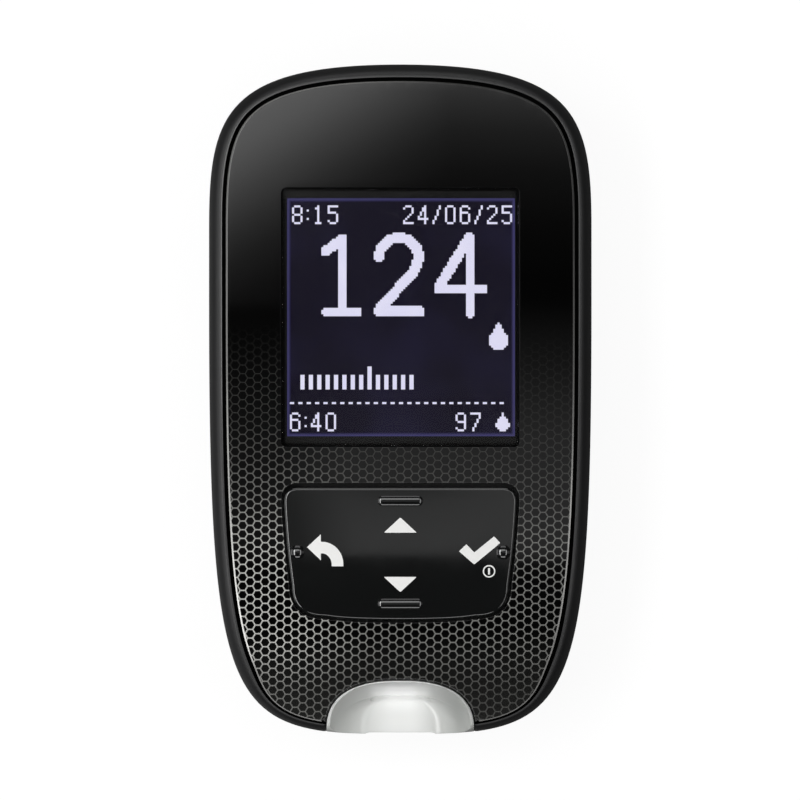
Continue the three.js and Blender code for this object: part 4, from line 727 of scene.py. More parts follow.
def glossy_printed_front():
    """PMMA with its print behind it: a mirror-smooth black face over a silver honeycomb of fine lines."""
    material, tree, shader = finish('glossy_printed_front', IOR=1.49, Roughness=0.04)
    place = add(tree, 'ShaderNodeTexCoord').outputs['Object']
    axes = add(tree, 'ShaderNodeSeparateXYZ', Vector=place)
    # Honeycomb of flat-topped cells, 1.05 mm from flat to flat: two grids of oblongs, half a step apart
    up = 1.05 * MM
    across = up / math.sqrt(3) * 3

    def cell(shift_x, shift_y):
        """How far a point lies from the middle of the cell of one grid, measured across the flats."""
        sides = []
        for name, step, shift in (('X', across, shift_x), ('Y', up, shift_y)):
            moved = add(tree, 'ShaderNodeMath', {'operation': 'ADD'}, in_0=axes.outputs[name], in_1=shift)
            wrapped = add(tree, 'ShaderNodeMath', {'operation': 'WRAP'},
                          in_0=moved.outputs[0], in_1=step / 2, in_2=-step / 2)
            apart = add(tree, 'ShaderNodeMath', {'operation': 'ABSOLUTE'}, in_0=wrapped.outputs[0])
            sides.append(apart.outputs[0])
        slant = add(tree, 'ShaderNodeMath', {'operation': 'MULTIPLY'}, in_0=sides[0], in_1=math.sqrt(3) / 2)
        slant = add(tree, 'ShaderNodeMath', {'operation': 'MULTIPLY_ADD'},
                    in_0=sides[1], in_1=0.5, in_2=slant.outputs[0])
        return add(tree, 'ShaderNodeMath', {'operation': 'MAXIMUM'},
                   in_0=sides[1], in_1=slant.outputs[0]).outputs[0]

    nearest = add(tree, 'ShaderNodeMath', {'operation': 'MINIMUM'},
                  in_0=cell(0.0, 0.0), in_1=cell(across / 2, up / 2))
    # The printed line is 0.14 mm wide, and drawn with soft flanks about as wide as a pixel of the photograph
    line = add(tree, 'ShaderNodeMapRange', {'interpolation_type': 'SMOOTHSTEP'}, Value=nearest.outputs[0],
               From_Min=up / 2 - 0.115 * MM, From_Max=up / 2 - 0.02 * MM, To_Min=0.0, To_Max=1.0)
    # The print fades in over the middle of the front, as printed, and grows greyer at the foot; low down and
    # on the left its ink is painted brighter, fading towards the right, as a painted highlight on the silver
    # ink
    fade = follows(tree, axes.outputs['Y'], [
        (-36 * MM, 0.27), (-28.4 * MM, 0.92), (-19.8 * MM, 0.86), (-10.2 * MM, 0.22),
        (-6.8 * MM, 0.11), (-2 * MM, 0.045), (10 * MM, 0.0)], 'EASE')
    painted_ink_highlight = add(tree, 'ShaderNodeMapRange', {'interpolation_type': 'SMOOTHSTEP'},
                      Value=axes.outputs['X'], From_Min=-16 * MM, From_Max=-2 * MM, To_Min=1.0, To_Max=0.36)
    ink = add(tree, 'ShaderNodeMath', {'operation': 'MULTIPLY'}, in_0=line.outputs['Result'], in_1=fade)
    haze = follows(tree, axes.outputs['Y'], [
        (-40 * MM, 0.024), (-36 * MM, 0.018), (-32 * MM, 0.009), (-28 * MM, 0.0)])
    ink = add(tree, 'ShaderNodeMath', {'operation': 'MULTIPLY_ADD'},
              in_0=ink.outputs[0], in_1=painted_ink_highlight.outputs['Result'], in_2=haze)
    paint = add(tree, 'ShaderNodeMix', {'data_type': 'RGBA'},
                in_0=ink.outputs[0], in_6=colour('#040404'), in_7=colour('#c9c9c4'))
    tree.links.new(paint.outputs[2], shader.inputs['Base Color'])
    return material


def painted_plate_edge_highlight():
    """Cut edge of the PMMA plate, painted pale as a painted highlight: a thin bright line, most on the left
    and low down, where the light falls.
    """
    material, tree, shader = finish('painted_plate_edge_highlight', Roughness=0.5, Specular_IOR_Level=0.2)
    place = grain(tree, shader, 0.1 * MM, 0.05, 0.5, 0.05)
    axes = add(tree, 'ShaderNodeSeparateXYZ', Vector=place)
    left = follows(tree, axes.outputs['Y'], [
        (-40 * MM, 0.24), (-33 * MM, 0.24), (-29 * MM, 0.9), (-24 * MM, 0.9), (-19 * MM, 0.72),
        (-14 * MM, 0.45), (-5 * MM, 0.38), (3 * MM, 0.2), (30 * MM, 0.12)])
    right = follows(tree, axes.outputs['Y'], [
        (-40 * MM, 0.16), (-33 * MM, 0.16), (-29 * MM, 0.2), (-24 * MM, 0.3), (-19 * MM, 0.29),
        (-14 * MM, 0.38), (-5 * MM, 0.16), (3 * MM, 0.08), (20 * MM, 0.02)])
    side = add(tree, 'ShaderNodeMapRange', Value=axes.outputs['X'], From_Min=-6 * MM, From_Max=6 * MM)
    level = add(tree, 'ShaderNodeMix', {'data_type': 'FLOAT'},
                in_0=side.outputs['Result'], in_2=left, in_3=right)
    # Painted highlight: the edge's colour rises from black to near white, more on the left than the right
    paint = add(tree, 'ShaderNodeMix', {'data_type': 'RGBA'},
                in_0=level.outputs[0], in_6=(0, 0, 0, 1), in_7=colour('#fffefa'))
    tree.links.new(paint.outputs[2], shader.inputs['Base Color'])
    return material


def glossy_key_plastic():
    """ABS, moulded in a polished tool: black, with a shine that is sharp but for the touch of fingers."""
    material, tree, shader = finish('glossy_key_plastic', Base_Color=colour('#101111'), IOR=1.66)
    place = add(tree, 'ShaderNodeTexCoord').outputs['Object']
    broad = add(tree, 'ShaderNodeTexNoise', Vector=place, Scale=1 / (4 * MM), Detail=3.0)
    wander = add(tree, 'ShaderNodeMapRange', Value=broad.outputs['Fac'],
                 From_Min=0.3, From_Max=0.7, To_Min=0.04, To_Max=0.075)
    tree.links.new(wander.outputs['Result'], shader.inputs['Roughness'])
    return material


def white_key_ink():
    """Pad-printed white ink: flat and slightly chalky."""
    material, tree, shader = finish('white_key_ink', Base_Color=colour('#e9e9e7'))
    grain(tree, shader, 0.1 * MM, 0.1, 0.5, 0.03)
    return material


def clear_window():
    """PMMA, polished and coated against reflections: clear and colourless."""
    material, tree, shader = finish('clear_window', IOR=1.2, Roughness=0.0, Transmission_Weight=1.0)
    place = add(tree, 'ShaderNodeTexCoord').outputs['Object']
    waves = add(tree, 'ShaderNodeTexNoise', Vector=place, Scale=120.0, Detail=1.0)
    tint = add(tree, 'ShaderNodeMix', {'data_type': 'RGBA'},
               in_0=waves.outputs['Fac'], in_6=colour('#f1f3f6'), in_7=colour('#f8f8f8'))
    tree.links.new(tint.outputs[2], shader.inputs['Base Color'])
    # Light goes straight through to the display and back, with no shadow of the pane
    path = add(tree, 'ShaderNodeLightPath')
    straight = add(tree, 'ShaderNodeMath', {'operation': 'MAXIMUM'},
                   in_0=path.outputs['Is Shadow Ray'], in_1=path.outputs['Is Diffuse Ray'])
    straight = add(tree, 'ShaderNodeMath', {'operation': 'MAXIMUM'},
                   in_0=straight.outputs[0], in_1=path.outputs['Is Glossy Ray'])
    open_way = add(tree, 'ShaderNodeBsdfTransparent')
    mixed = add(tree, 'ShaderNodeMixShader', in_0=straight.outputs[0],
                in_1=shader.outputs[0], in_2=open_way.outputs[0])
    tree.links.new(mixed.outputs[0], tree.nodes['Material Output'].inputs['Surface'])
    return material


def black_mask_ink():
    """Screen-printed black behind the window: deep and nearly matt."""
    material, tree, shader = finish('black_mask_ink', Base_Color=colour('#0c0c0b'), Specular_IOR_Level=0.1)
    grain(tree, shader, 0.1 * MM, 0.05, 0.5, 0.04)
    return material


def lit_display():
    """Negative liquid crystal glass: near black, with its violet backlight leaking in round the edges."""
    material, tree, shader = finish('lit_display', Base_Color=colour('#08070d'), Roughness=0.25,
                                    Specular_IOR_Level=0.1, Emission_Strength=1.0)
    place = add(tree, 'ShaderNodeTexCoord').outputs['Object']
    axes = add(tree, 'ShaderNodeSeparateXYZ', Vector=place)
    depths = []
    spans = (('X', LCD_LEFT + LCD_WIDTH / 2, LCD_WIDTH / 2), ('Y', LCD_TOP - LCD_HEIGHT / 2, LCD_HEIGHT / 2))
    for name, middle, half in spans:
        off = add(tree, 'ShaderNodeMath', {'operation': 'SUBTRACT'}, in_0=axes.outputs[name], in_1=middle)
        off = add(tree, 'ShaderNodeMath', {'operation': 'ABSOLUTE'}, in_0=off.outputs[0])
        depths.append(add(tree, 'ShaderNodeMath', {'operation': 'SUBTRACT'},
                          in_0=half + 0.2 * MM, in_1=off.outputs[0]).outputs[0])
    depth = add(tree, 'ShaderNodeMath', {'operation': 'MINIMUM'}, in_0=depths[0], in_1=depths[1])
    glow = add(tree, 'ShaderNodeMapRange', {'interpolation_type': 'SMOOTHERSTEP'}, Value=depth.outputs[0],
               From_Min=0.1 * MM, From_Max=0.7 * MM, To_Min=0.0, To_Max=1.0)
    cloud = add(tree, 'ShaderNodeTexNoise', Vector=place, Scale=90.0, Detail=2.0)
    uneven = add(tree, 'ShaderNodeMapRange', Value=cloud.outputs['Fac'],
                 From_Min=0.3, From_Max=0.7, To_Min=-0.08, To_Max=0.08)
    level = add(tree, 'ShaderNodeMath', {'operation': 'ADD', 'use_clamp': True},
                in_0=glow.outputs['Result'], in_1=uneven.outputs['Result'])
    paint = add(tree, 'ShaderNodeMix', {'data_type': 'RGBA'},
                in_0=level.outputs[0], in_6=colour('#3d3a66'), in_7=colour('#0e0b19'))
    tree.links.new(paint.outputs[2], shader.inputs['Emission Color'])
    return material


def lit_pixels():
    """Open liquid crystal cells with the backlight behind them: cool white."""
    material, tree, shader = finish('lit_pixels', Base_Color=colour('#333240'), Roughness=0.4,
                                    Specular_IOR_Level=0.1, Emission_Strength=1.0)
    place = add(tree, 'ShaderNodeTexCoord').outputs['Object']
    cloud = add(tree, 'ShaderNodeTexNoise', Vector=place, Scale=300.0, Detail=2.0)
    paint = add(tree, 'ShaderNodeMix', {'data_type': 'RGBA'},
                in_0=cloud.outputs['Fac'], in_6=colour('#d5d3ee'), in_7=colour('#e4e2f2'))
    tree.links.new(paint.outputs[2], shader.inputs['Emission Color'])
    return material


def milky_port_plastic():
    """Polycarbonate with white pigment, polished: milky, light goes a little way in."""
    material, tree, shader = finish('milky_port_plastic', IOR=1.5,
                                    Subsurface_Weight=0.5, Subsurface_Scale=1.5 * MM)
    shader.inputs['Subsurface Radius'].default_value = (1.0, 0.97, 0.94)
    place = grain(tree, shader, 0.2 * MM, 0.02, 0.22, 0.02)
    # The flanks are painted greyer than the floor, and darker on the right than on the left, as painted
    # shade on the walls of the scoop
    axes = add(tree, 'ShaderNodeSeparateXYZ', Vector=place)
    off = add(tree, 'ShaderNodeMath', {'operation': 'ABSOLUTE'}, in_0=axes.outputs['X'])
    thin = add(tree, 'ShaderNodeMapRange', {'interpolation_type': 'SMOOTHSTEP'}, Value=off.outputs[0],
               From_Min=0.8 * MM, From_Max=7.0 * MM, To_Min=0.0, To_Max=1.0)
    side = add(tree, 'ShaderNodeMapRange', Value=axes.outputs['X'], From_Min=-7 * MM, From_Max=7 * MM)
    painted_flank_shade = add(tree, 'ShaderNodeMix', {'data_type': 'RGBA'},
                in_0=side.outputs['Result'], in_6=colour('#d2d4d1'), in_7=colour('#adafac'))
    paint = add(tree, 'ShaderNodeMix', {'data_type': 'RGBA'},
                in_0=thin.outputs['Result'], in_6=colour('#f2f3f1'), in_7=painted_flank_shade.outputs[2])
    tree.links.new(paint.outputs[2], shader.inputs['Base Color'])
    # Above the slot the plastic is given a glow, narrow across and along: a painted highlight on the lip of
    # the slot
    wide = follows(tree, off.outputs[0], [(1.0 * MM, 1.0), (2.6 * MM, 0.55), (4.2 * MM, 0.0)], 'EASE')
    deep = follows(tree, axes.outputs['Y'], [
        (-38.5 * MM, 0.0), (-36.3 * MM, 0.12), (-35.7 * MM, 0.34),
        (-35.1 * MM, 0.2), (-34.4 * MM, 0.0)], 'EASE')
    glow = add(tree, 'ShaderNodeMath', {'operation': 'MULTIPLY'}, in_0=wide, in_1=deep)
    tree.links.new(glow.outputs[0], shader.inputs['Emission Strength'])
    shader.inputs['Emission Color'].default_value = (1, 1, 1, 1)
    return material


def plain_plastic(name, hexadecimal, size, roughness):
    """Engineering plastic, moulded: even colour, faint grain."""
    material, tree, shader = finish(name, Base_Color=colour(hexadecimal))
    grain(tree, shader, size, 0.06, roughness, 0.04)
    return material


def stamped_metal(name, hexadecimal, roughness):
    """Sheet metal, stamped and plated: fine rolling lines along X."""
    material, tree, shader = finish(name, Base_Color=colour(hexadecimal), Metallic=1.0)
    place = add(tree, 'ShaderNodeTexCoord').outputs['Object']
    drawn = add(tree, 'ShaderNodeMapping', Vector=place, Scale=(0.05, 1.0, 1.0))
    lines = add(tree, 'ShaderNodeTexNoise', Vector=drawn.outputs['Vector'], Scale=9000.0, Detail=3.0)
    wander = add(tree, 'ShaderNodeMapRange', Value=lines.outputs['Fac'],
                 From_Min=0.3, From_Max=0.7, To_Min=roughness - 0.06, To_Max=roughness + 0.06)
    tree.links.new(wander.outputs['Result'], shader.inputs['Roughness'])
    bump = add(tree, 'ShaderNodeBump', Height=lines.outputs['Fac'], Strength=0.05, Distance=0.02 * MM)
    tree.links.new(bump.outputs['Normal'], shader.inputs['Normal'])
    return material


def solder_mask():
    """Glass-epoxy board under green lacquer: darker over bare laminate, lighter over copper lines."""
    material, tree, shader = finish('solder_mask', Roughness=0.35)
    place = add(tree, 'ShaderNodeTexCoord').outputs['Object']
    blocks = add(tree, 'ShaderNodeTexVoronoi', {'distance': 'MANHATTAN', 'feature': 'F1'},
                 Vector=place, Scale=450.0)
    lines = add(tree, 'ShaderNodeMapRange', Value=blocks.outputs['Distance'],
                From_Min=0.42, From_Max=0.5, To_Min=0.0, To_Max=1.0)
    paint = add(tree, 'ShaderNodeMix', {'data_type': 'RGBA'},
                in_0=lines.outputs['Result'], in_6=colour('#0f4a2a'), in_7=colour('#1c6b3d'))
    tree.links.new(paint.outputs[2], shader.inputs['Base Color'])
    return material


def film(name, hexadecimal, roughness):
    """Plastic film, calendered: even colour with faint streaks."""
    material, tree, shader = finish(name, Base_Color=colour(hexadecimal))
    grain(tree, shader, 0.25 * MM, 0.04, roughness, 0.05)
    return material


case_plastic = abs_spark_eroded()
rim_highlight_paint = abs_painted_rim_highlight()
groove_shade_black = deck_painted_groove_shade()
front_gloss = glossy_printed_front()
plate_edge_highlight_paint = painted_plate_edge_highlight()
key_plastic = glossy_key_plastic()
key_ink = white_key_ink()
window_plastic = clear_window()
mask_ink = black_mask_ink()
display_field = lit_display()
display_cells = lit_pixels()
port_plastic = milky_port_plastic()
chip_plastic = plain_plastic('chip_epoxy', '#161617', 0.12 * MM, 0.45)
frame_plastic = plain_plastic('frame_polycarbonate', '#d9dbd6', 0.2 * MM, 0.4)
lever_plastic = plain_plastic('acetal_lever', '#e4e3dc', 0.2 * MM, 0.35)
mat_silicone = plain_plastic('silicone_mat', '#8b8d8f', 0.15 * MM, 0.6)
spring_steel = stamped_metal('spring_steel', '#b9bbbd', 0.28)
screw_zinc = stamped_metal('zinc_plate', '#a9aaa6', 0.33)
cell_steel = stamped_metal('nickel_plate', '#cfcdc6', 0.22)
contact_gold = stamped_metal('gold_flash', '#d9b45c', 0.25)
board_lacquer = solder_mask()
white_film = film('diffuser_film', '#f0f1ee', 0.5)
amber_film = film('polyimide_film', '#b5651f', 0.3)
lamp_resin = film('lamp_resin', '#f3efd6', 0.3)


# Front housing: side wall and rounded rim

def rim_rings(first, width):
    """The rounded side of the rim, as lines from its foot to its top."""
    rings = []
    for angle in quarter_turn(12):
        z = RIM_Z - RIM_ROUND_HEIGHT * (1 - math.sin(angle))
        rings.append(rim_ring(first + width * (1 - math.cos(angle)), z))
    return rings


def band(name, line, near, far, top):
    """A thin band round the case between two of its lines, sunk into what carries it."""
    return raised(name, [
        line(near, top - TRIM_DEPTH), line(near, top + TRIM_LIFT),
        line(far, top + TRIM_LIFT), line(far, top - TRIM_DEPTH)], open_form=True)


def socket_block(inner_y):
    """A tool for the data socket's opening, from inside the case to past its display end."""
    return rounded_block('socket_cut', (-SOCKET_HALF_WIDTH, inner_y, SOCKET_LOW),
                         (SOCKET_HALF_WIDTH, CASE_END, SOCKET_TOP), SOCKET_CORNER, axis='Y')


def front_shell():
    rings = [
        at_height(inset(CASE, SEAM_BEVEL), PARTING_Z),
        at_height(inset(CASE, SEAM_BEVEL * 0.3), PARTING_Z + SEAM_BEVEL * 0.3),
        at_height(CASE, PARTING_Z + SEAM_BEVEL),
        at_height(CASE, (PARTING_Z + RIM_Z - RIM_ROUND_HEIGHT) / 2),
    ]
    rings += rim_rings(0, RIM_ROUND_INSET - RIM_EDGE_ROUND)
    for angle in quarter_turn(5)[1:]:
        z = RIM_Z - RIM_EDGE_ROUND * (1 - math.cos(angle))
        rings.append(rim_ring(RIM_ROUND_INSET - RIM_EDGE_ROUND * (1 - math.sin(angle)), z))
    rings.append(rim_ring(RIM_ROUND_INSET, RIM_Z - 3 * MM))
    rings.append(at_height(CROWN, PARTING_Z))
    shell = raised('front_shell', rings, open_form=True)
    cut(
        shell,
        prism('arch_cut', arch_outline(PORT_GAP), *CASE_CUT),
        socket_block(38 * MM),
    )
    soften(shell, 0.25 * MM, 3, lambda p, line: p.y < -36 * MM and abs(p.x) < 10 * MM and p.z > 12 * MM)
    smooth(shell)
    fit_out(shell, 'case', case_plastic, 'case_plastic', 'front_housing')

    # The inner edge of the rim: a thin band with a painted highlight, brightest at the upper left
    far = RIM_ROUND_INSET - 0.02 * MM
    near = far - 0.12 * MM
    edge = band('rim_edge', rim_ring, near, far, RIM_Z)
    cut(edge, prism('rim_edge_cut', arch_outline(PORT_GAP), *CASE_CUT))
    smooth(edge, weighted=False)
    fit_out(edge, 'case', rim_highlight_paint, 'case_plastic')

    # The floor under the plate, near black as painted shade in the grooves
    deck = prism('front_deck', rim_line(WALL + 0.03 * MM), -DECK_DEPTH - DECK_THICKNESS, -DECK_DEPTH)
    cut(
        deck,
        window_block('deck_window', 0.45 * MM),
        prism('deck_keys', key_outline(), -FLAT_REACH, FLAT_REACH),
        prism('deck_arch', arch_outline(PORT_GAP), -FLAT_REACH, FLAT_REACH),
    )
    laid(deck, 4 * MM, front_height, weighted=False)
    fit_out(deck, 'case', groove_shade_black, 'case_plastic')


def window_block(name, margin, low=-FLAT_REACH, high=FLAT_REACH):
    return rounded_block(
        name,
        (-WINDOW_HALF_WIDTH + margin, WINDOW_Y - WINDOW_HALF_LENGTH + margin, low),
        (WINDOW_HALF_WIDTH - margin, WINDOW_Y + WINDOW_HALF_LENGTH - margin, high),
        max(WINDOW_CORNER - margin, 0.25 * MM),
    )


# Front plate: the printed face, crowned over the deck

def edge_steps(radius):
    """How far a rounded top edge has come in, and how high it is, from its side to its top."""
    return [(radius * (1 - math.cos(angle)), radius * (math.sin(angle) - 1)) for angle in quarter_turn(6)]


def opening(name, outline, radius, depth=FLAT_REACH, side=1):
    """A tool that cuts into a face at height zero, from above or below, and rounds the edge there."""
    rings = [at_height(outline(0), -side * depth)]
    for grow, z in edge_steps(radius):
        rings.append(at_height(outline(grow), side * (z + 0.002 * MM)))
    return raised(name, rings + [at_height(outline(radius), side * FLAT_REACH)])


def front_plate():
    outer = rim_line(RIM_ROUND_INSET + GROOVE_WIDTH)
    rings = [at_height(outer, -PLATE_THICKNESS)]
    for distance, z in edge_steps(PLATE_EDGE_ROUND):
        rings.append(at_height(rim_line(RIM_ROUND_INSET + GROOVE_WIDTH + distance), z))
    plate = raised('front_face', rings)
    tip_x = PORT_HALF_WIDTH + PORT_GAP + PLATE_TIP_ROUND
    foot_y = min(p.y for p in outer if abs(p.x - tip_x) < 0.5 * MM)
    tip_y = foot_y + PLATE_TIP_ROUND

    def arch(grow):
        return arch_outline(PORT_GAP + grow, (tip_x, tip_y, PLATE_TIP_ROUND - grow))

    def keys(grow):
        return inset(key_outline(), -grow)

    cut(
        plate,
        opening('plate_window', window_outline, 0.04 * MM),
        opening('plate_keys', keys, 0.1 * MM),
        opening('plate_arch', arch, 0.2 * MM),
    )
    laid(plate, 1.2 * MM, front_height)
    fit_out(plate, 'case', front_gloss, 'plate_gloss', 'front_plate')

    # The cut edge of the plate: a thin band with a painted highlight along it
    side = RIM_ROUND_INSET + GROOVE_WIDTH
    border = band('front_border', lambda distance, z: at_height(rim_line(distance), z),
                  side - 0.01 * MM, side + PLATE_BORDER, 0)
    cut(border, prism('border_cut', arch_outline(PORT_GAP + PLATE_TIP_ROUND), -FLAT_REACH, FLAT_REACH))
    smooth(border, weighted=False)
    bend(border, front_height)
    fit_out(border, 'case', plate_edge_highlight_paint, 'plate_gloss')


# Window, its printed mask, and the lit cells of the display

def lens_height(x, y):
    return front_height(x, y) - LENS_RECESS


def display_window():
    lens = window_block('window_lens', LENS_GAP, -PLATE_THICKNESS + LENS_RECESS, 0)
    soften(lens, 0.04 * MM, 2, lambda p, line: p.z > -0.01 * MM)
    laid(lens, 1.5 * MM, lens_height)
    fit_out(lens, 'case', window_plastic, 'window_clear', 'display_lens')

    low = -PLATE_THICKNESS + LENS_RECESS - 0.25 * MM
    mask = window_block('window_mask', 0, low, low + MASK_THICKNESS)
    cut(mask, rounded_block(
        'mask_opening',
        (LCD_LEFT - LCD_MARGIN, LCD_TOP - LCD_HEIGHT - LCD_MARGIN, -FLAT_REACH),
        (LCD_LEFT + LCD_WIDTH + LCD_MARGIN, LCD_TOP + LCD_MARGIN, FLAT_REACH), 0.15 * MM, 3))
    laid(mask, 3 * MM, lens_height, weighted=False)
    fit_out(mask, 'case', mask_ink, 'display_dark')


SMALL_DIGITS = {
    '0': ['.###.', '#...#', '#...#', '#...#', '#...#', '#...#', '#...#', '#...#', '.###.'],
    '1': ['..#..', '.##..', '..#..', '..#..', '..#..', '..#..', '..#..', '..#..', '.###.'],
    '2': ['.###.', '#...#', '....#', '....#', '...#.', '..#..', '.#...', '#....', '#####'],
    '4': ['...#.', '..##.', '..##.', '.#.#.', '.#.#.', '#..#.', '#####', '...#.', '...#.'],
    '5': ['#####', '#....', '#....', '####.', '....#', '....#', '....#', '#...#', '.###.'],
    '6': ['.###.', '#...#', '#....', '####.', '#...#', '#...#', '#...#', '#...#', '.###.'],
    '7': ['#####', '....#', '....#', '...#.', '...#.', '..#..', '..#..', '.#...', '.#...'],
    '8': ['.###.', '#...#', '#...#', '#...#', '.###.', '#...#', '#...#', '#...#', '.###.'],
    '9': ['.###.', '#...#', '#...#', '#...#', '.####', '....#', '....#', '#...#', '.###.'],
    ':': ['.', '.', '#', '.', '.', '.', '#', '.', '.'],
    '/': ['...#', '...#', '..#.', '..#.', '..#.', '.#..', '.#..', '#...', '#...'],
}


def small_text(lit, text, column, row):
    """Small digits, one cell wide in their strokes."""
    for sign in text:
        rows = SMALL_DIGITS[sign]
        for down, line in enumerate(rows):
            for right, mark in enumerate(line):
                if mark == '#':
                    lit.add((column + right, row + down))
        column += len(rows[0]) + 2


def near_line(points, x, y):
    """Least distance from a place to a line through points."""
    best = 1e9
    for (ax, ay), (bx, by) in zip(points, points[1:]):
        dx = bx - ax
        dy = by - ay
        share = min(max(((x - ax) * dx + (y - ay) * dy) / (dx * dx + dy * dy), 0), 1)
        best = min(best, math.hypot(x - ax - dx * share, y - ay - dy * share))
    return best


def bow(centre_x, centre_y, radius_x, radius_y, start, end):
    """Part of an ellipse, in cells; angles in turns, clockwise from three o'clock."""
    result = []
    for step in range(25):
        angle = (start + (end - start) * step / 24) * TAU
        result.append((centre_x + radius_x * math.cos(angle), centre_y + radius_y * math.sin(angle)))
    return result


# Large digits, as strokes in a field 25 cells wide and 40 high
LARGE_STROKES = {
    '1': [[(4, 9), (12, 3), (12, 37)], [(4.5, 38), (19, 38)]],
    '2': [
        bow(12, 11.5, 9.3, 9, 0.5, 1.05),
        [(20.9, 14), (19, 19), (3, 36), (2.5, 38)],
        [(2.5, 37.6), (22, 37.6)],
    ],
    '4': [[(17, 2.5), (17, 38.5)], [(16.5, 2.5), (2, 26)], [(2, 27), (23, 27)]],
}


def large_digit(lit, sign, column, row):
    for y in range(41):
        for x in range(26):
            if any(near_line(stroke, x + 0.5, y + 0.5) < 2.45 for stroke in LARGE_STROKES[sign]):
                lit.add((column + x, row + y))


def drop(lit, column, row, radius, middle):
    """A drop: a circle, and above it the two lines from its tip that touch it."""
    half = math.ceil(radius)
    tip = -0.12 * middle
    lean = math.asin(radius / (middle - tip))
    for y in range(math.floor(middle + radius) + 1):
        for x in range(2 * half + 1):
            off = abs(x - half)
            above = y < middle - radius * math.sin(lean) and off <= (y - tip) * math.tan(lean)
            if above or math.hypot(off, y - middle) <= radius:
                lit.add((column + x, row + y))


def lit_pattern():
    """Columns and rows of the open cells, from the top left of the display."""
    lit = set()
    small_text(lit, '8:15', 2, 3)
    small_text(lit, '24/06/25', 55, 3)
    large_digit(lit, '1', 14, 16)
    large_digit(lit, '2', 41, 16)
    large_digit(lit, '4', 70, 16)
    # A drop, where the unit of measurement stands on such a display
    drop(lit, 95, 59, 4.6, 8)
    # A bar of marks that shows where the reading lies in its range
    for index in range(14):
        tall = 11 if index == 8 else 7
        for y in range(tall):
            for x in range(2):
                lit.add((6 + index * 4 + x, 90 - y))
    # Dashed line above the reading before
    for index in range(26):
        for x in range(2):
            lit.add((1 + index * 4 + x, 97))
    small_text(lit, '6:40', 1, 102)
    small_text(lit, '97', 80, 102)
    drop(lit, 98, 102, 3.1, 5.5)
    return lit


def display_pixels():
    """A grid with one face to each cell of the display, of which the dark ones are taken away."""
    lit = lit_pattern()
    select_none()
    bpy.ops.mesh.primitive_grid_add(x_subdivisions=LCD_COLUMNS, y_subdivisions=LCD_ROWS, size=1)
    cells = started('display_cells')
    top_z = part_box('display_glass')[1].z + 0.02 * MM
    for vertex in cells.data.vertices:
        x = LCD_LEFT + (vertex.co.x + 0.5) * LCD_WIDTH
        y = LCD_TOP + (vertex.co.y - 0.5) * LCD_HEIGHT
        vertex.co = (x, y, top_z)
    bpy.ops.object.mode_set(mode='EDIT')
    bpy.ops.mesh.select_mode(type='FACE')
    bpy.ops.mesh.select_all(action='DESELECT')
    mesh = bmesh.from_edit_mesh(cells.data)
    for face in mesh.faces:
        middle = face.calc_center_median()
        column = math.floor((middle.x - LCD_LEFT) / LCD_PIXEL)
        row = math.floor((LCD_TOP - middle.y) / LCD_PIXEL)
        face.select_set((column, row) not in lit)
    bmesh.update_edit_mesh(cells.data)
    bpy.ops.mesh.delete(type='FACE')
    bpy.ops.mesh.select_all(action='SELECT')
    bpy.ops.mesh.extrude_region_move(TRANSFORM_OT_translate={'value': (0, 0, 0.03 * MM)})
    bpy.ops.mesh.select_mode(type='VERT')
    bpy.ops.mesh.select_all(action='SELECT')
    bpy.ops.mesh.normals_make_consistent(inside=False)
    bpy.ops.object.mode_set(mode='OBJECT')
    fit_out(cells, 'case', display_cells, 'white_film')


# Key cap with its ribs, dots and printed signs

def cap_height(x, y):
    """Top of the cap over a place: the crowned front, and a low pillow of its own."""
    dx = x / KEY_TOP_HALF_WIDTH
    dy = (y - KEY_Y) / KEY_HALF_LENGTH
    pillow = KEY_PILLOW * max(0, 1 - dx * dx) * max(0, 1 - dy * dy)
    return front_height(x, y) + KEY_PROUD + pillow


def key_cap():
    foot = KEY_Y - KEY_HALF_LENGTH
    shorter = 1 - KEY_TOP_SHRINK / (2 * KEY_HALF_LENGTH)
    line = [Vector((p.x, foot + (p.y - foot) * shorter)) for p in inset(key_outline(), KEY_GROOVE)]
    cap = prism('key_face', line, -3.6 * MM, 0)
    soften(cap, KEY_EDGE_ROUND, 6, lambda p, line: p.z > -0.01 * MM)
    laid(cap, 0.8 * MM, cap_height)
    fit_out(cap, 'key_pad', key_plastic, 'key_gloss', 'key_cap')

    outer = inset(key_outline(), -KEY_FLANGE_WIDTH)
    inner = inset(key_outline(), KEY_GROOVE + 0.5 * MM)
    flange_top = KEY_FLANGE_LOW + KEY_FLANGE_THICKNESS
    flange = raised('key_flange', [
        at_height(outer, KEY_FLANGE_LOW), at_height(outer, flange_top),
        at_height(inner, flange_top), at_height(inner, KEY_FLANGE_LOW)], open_form=True)
    smooth(flange, weighted=False)
    fit_out(flange, 'key_pad', case_plastic, 'key_gloss')

    for side, name in ((1, 'key_rib_up'), (-1, 'key_rib_down')):
        y = KEY_Y + side * KEY_HALF_LENGTH * KEY_RIB_PLACE
        touch_mark(name, 0, y, KEY_RIB_RADIUS, KEY_RIB_HEIGHT, KEY_RIB_HALF_LENGTH - KEY_RIB_RADIUS)
    for side, name in ((1, 'key_dot_right'), (-1, 'key_dot_left')):
        touch_mark(name, side * KEY_TOP_HALF_WIDTH * KEY_DOT_PLACE, KEY_Y, KEY_DOT_RADIUS, KEY_DOT_HEIGHT)


def touch_mark(name, x, y, radius, height, stretch=0):
    """A rib or dot on the cap: the upper half of a ball pressed flat, drawn out sideways for a rib."""
    select_none()
    bpy.ops.mesh.primitive_uv_sphere_add(segments=48, ring_count=32, radius=radius)
    mark = started(name)
    for vertex in mark.data.vertices:
        vertex.co.z *= height / radius
        shift = stretch * (-1 if vertex.co.x < -1e-7 else 1)
        vertex.co += Vector((x + shift, y, cap_height(x, y)))
    smooth(mark, 60, weighted=False)
    fit_out(mark, 'key_pad', key_plastic, 'key_gloss')


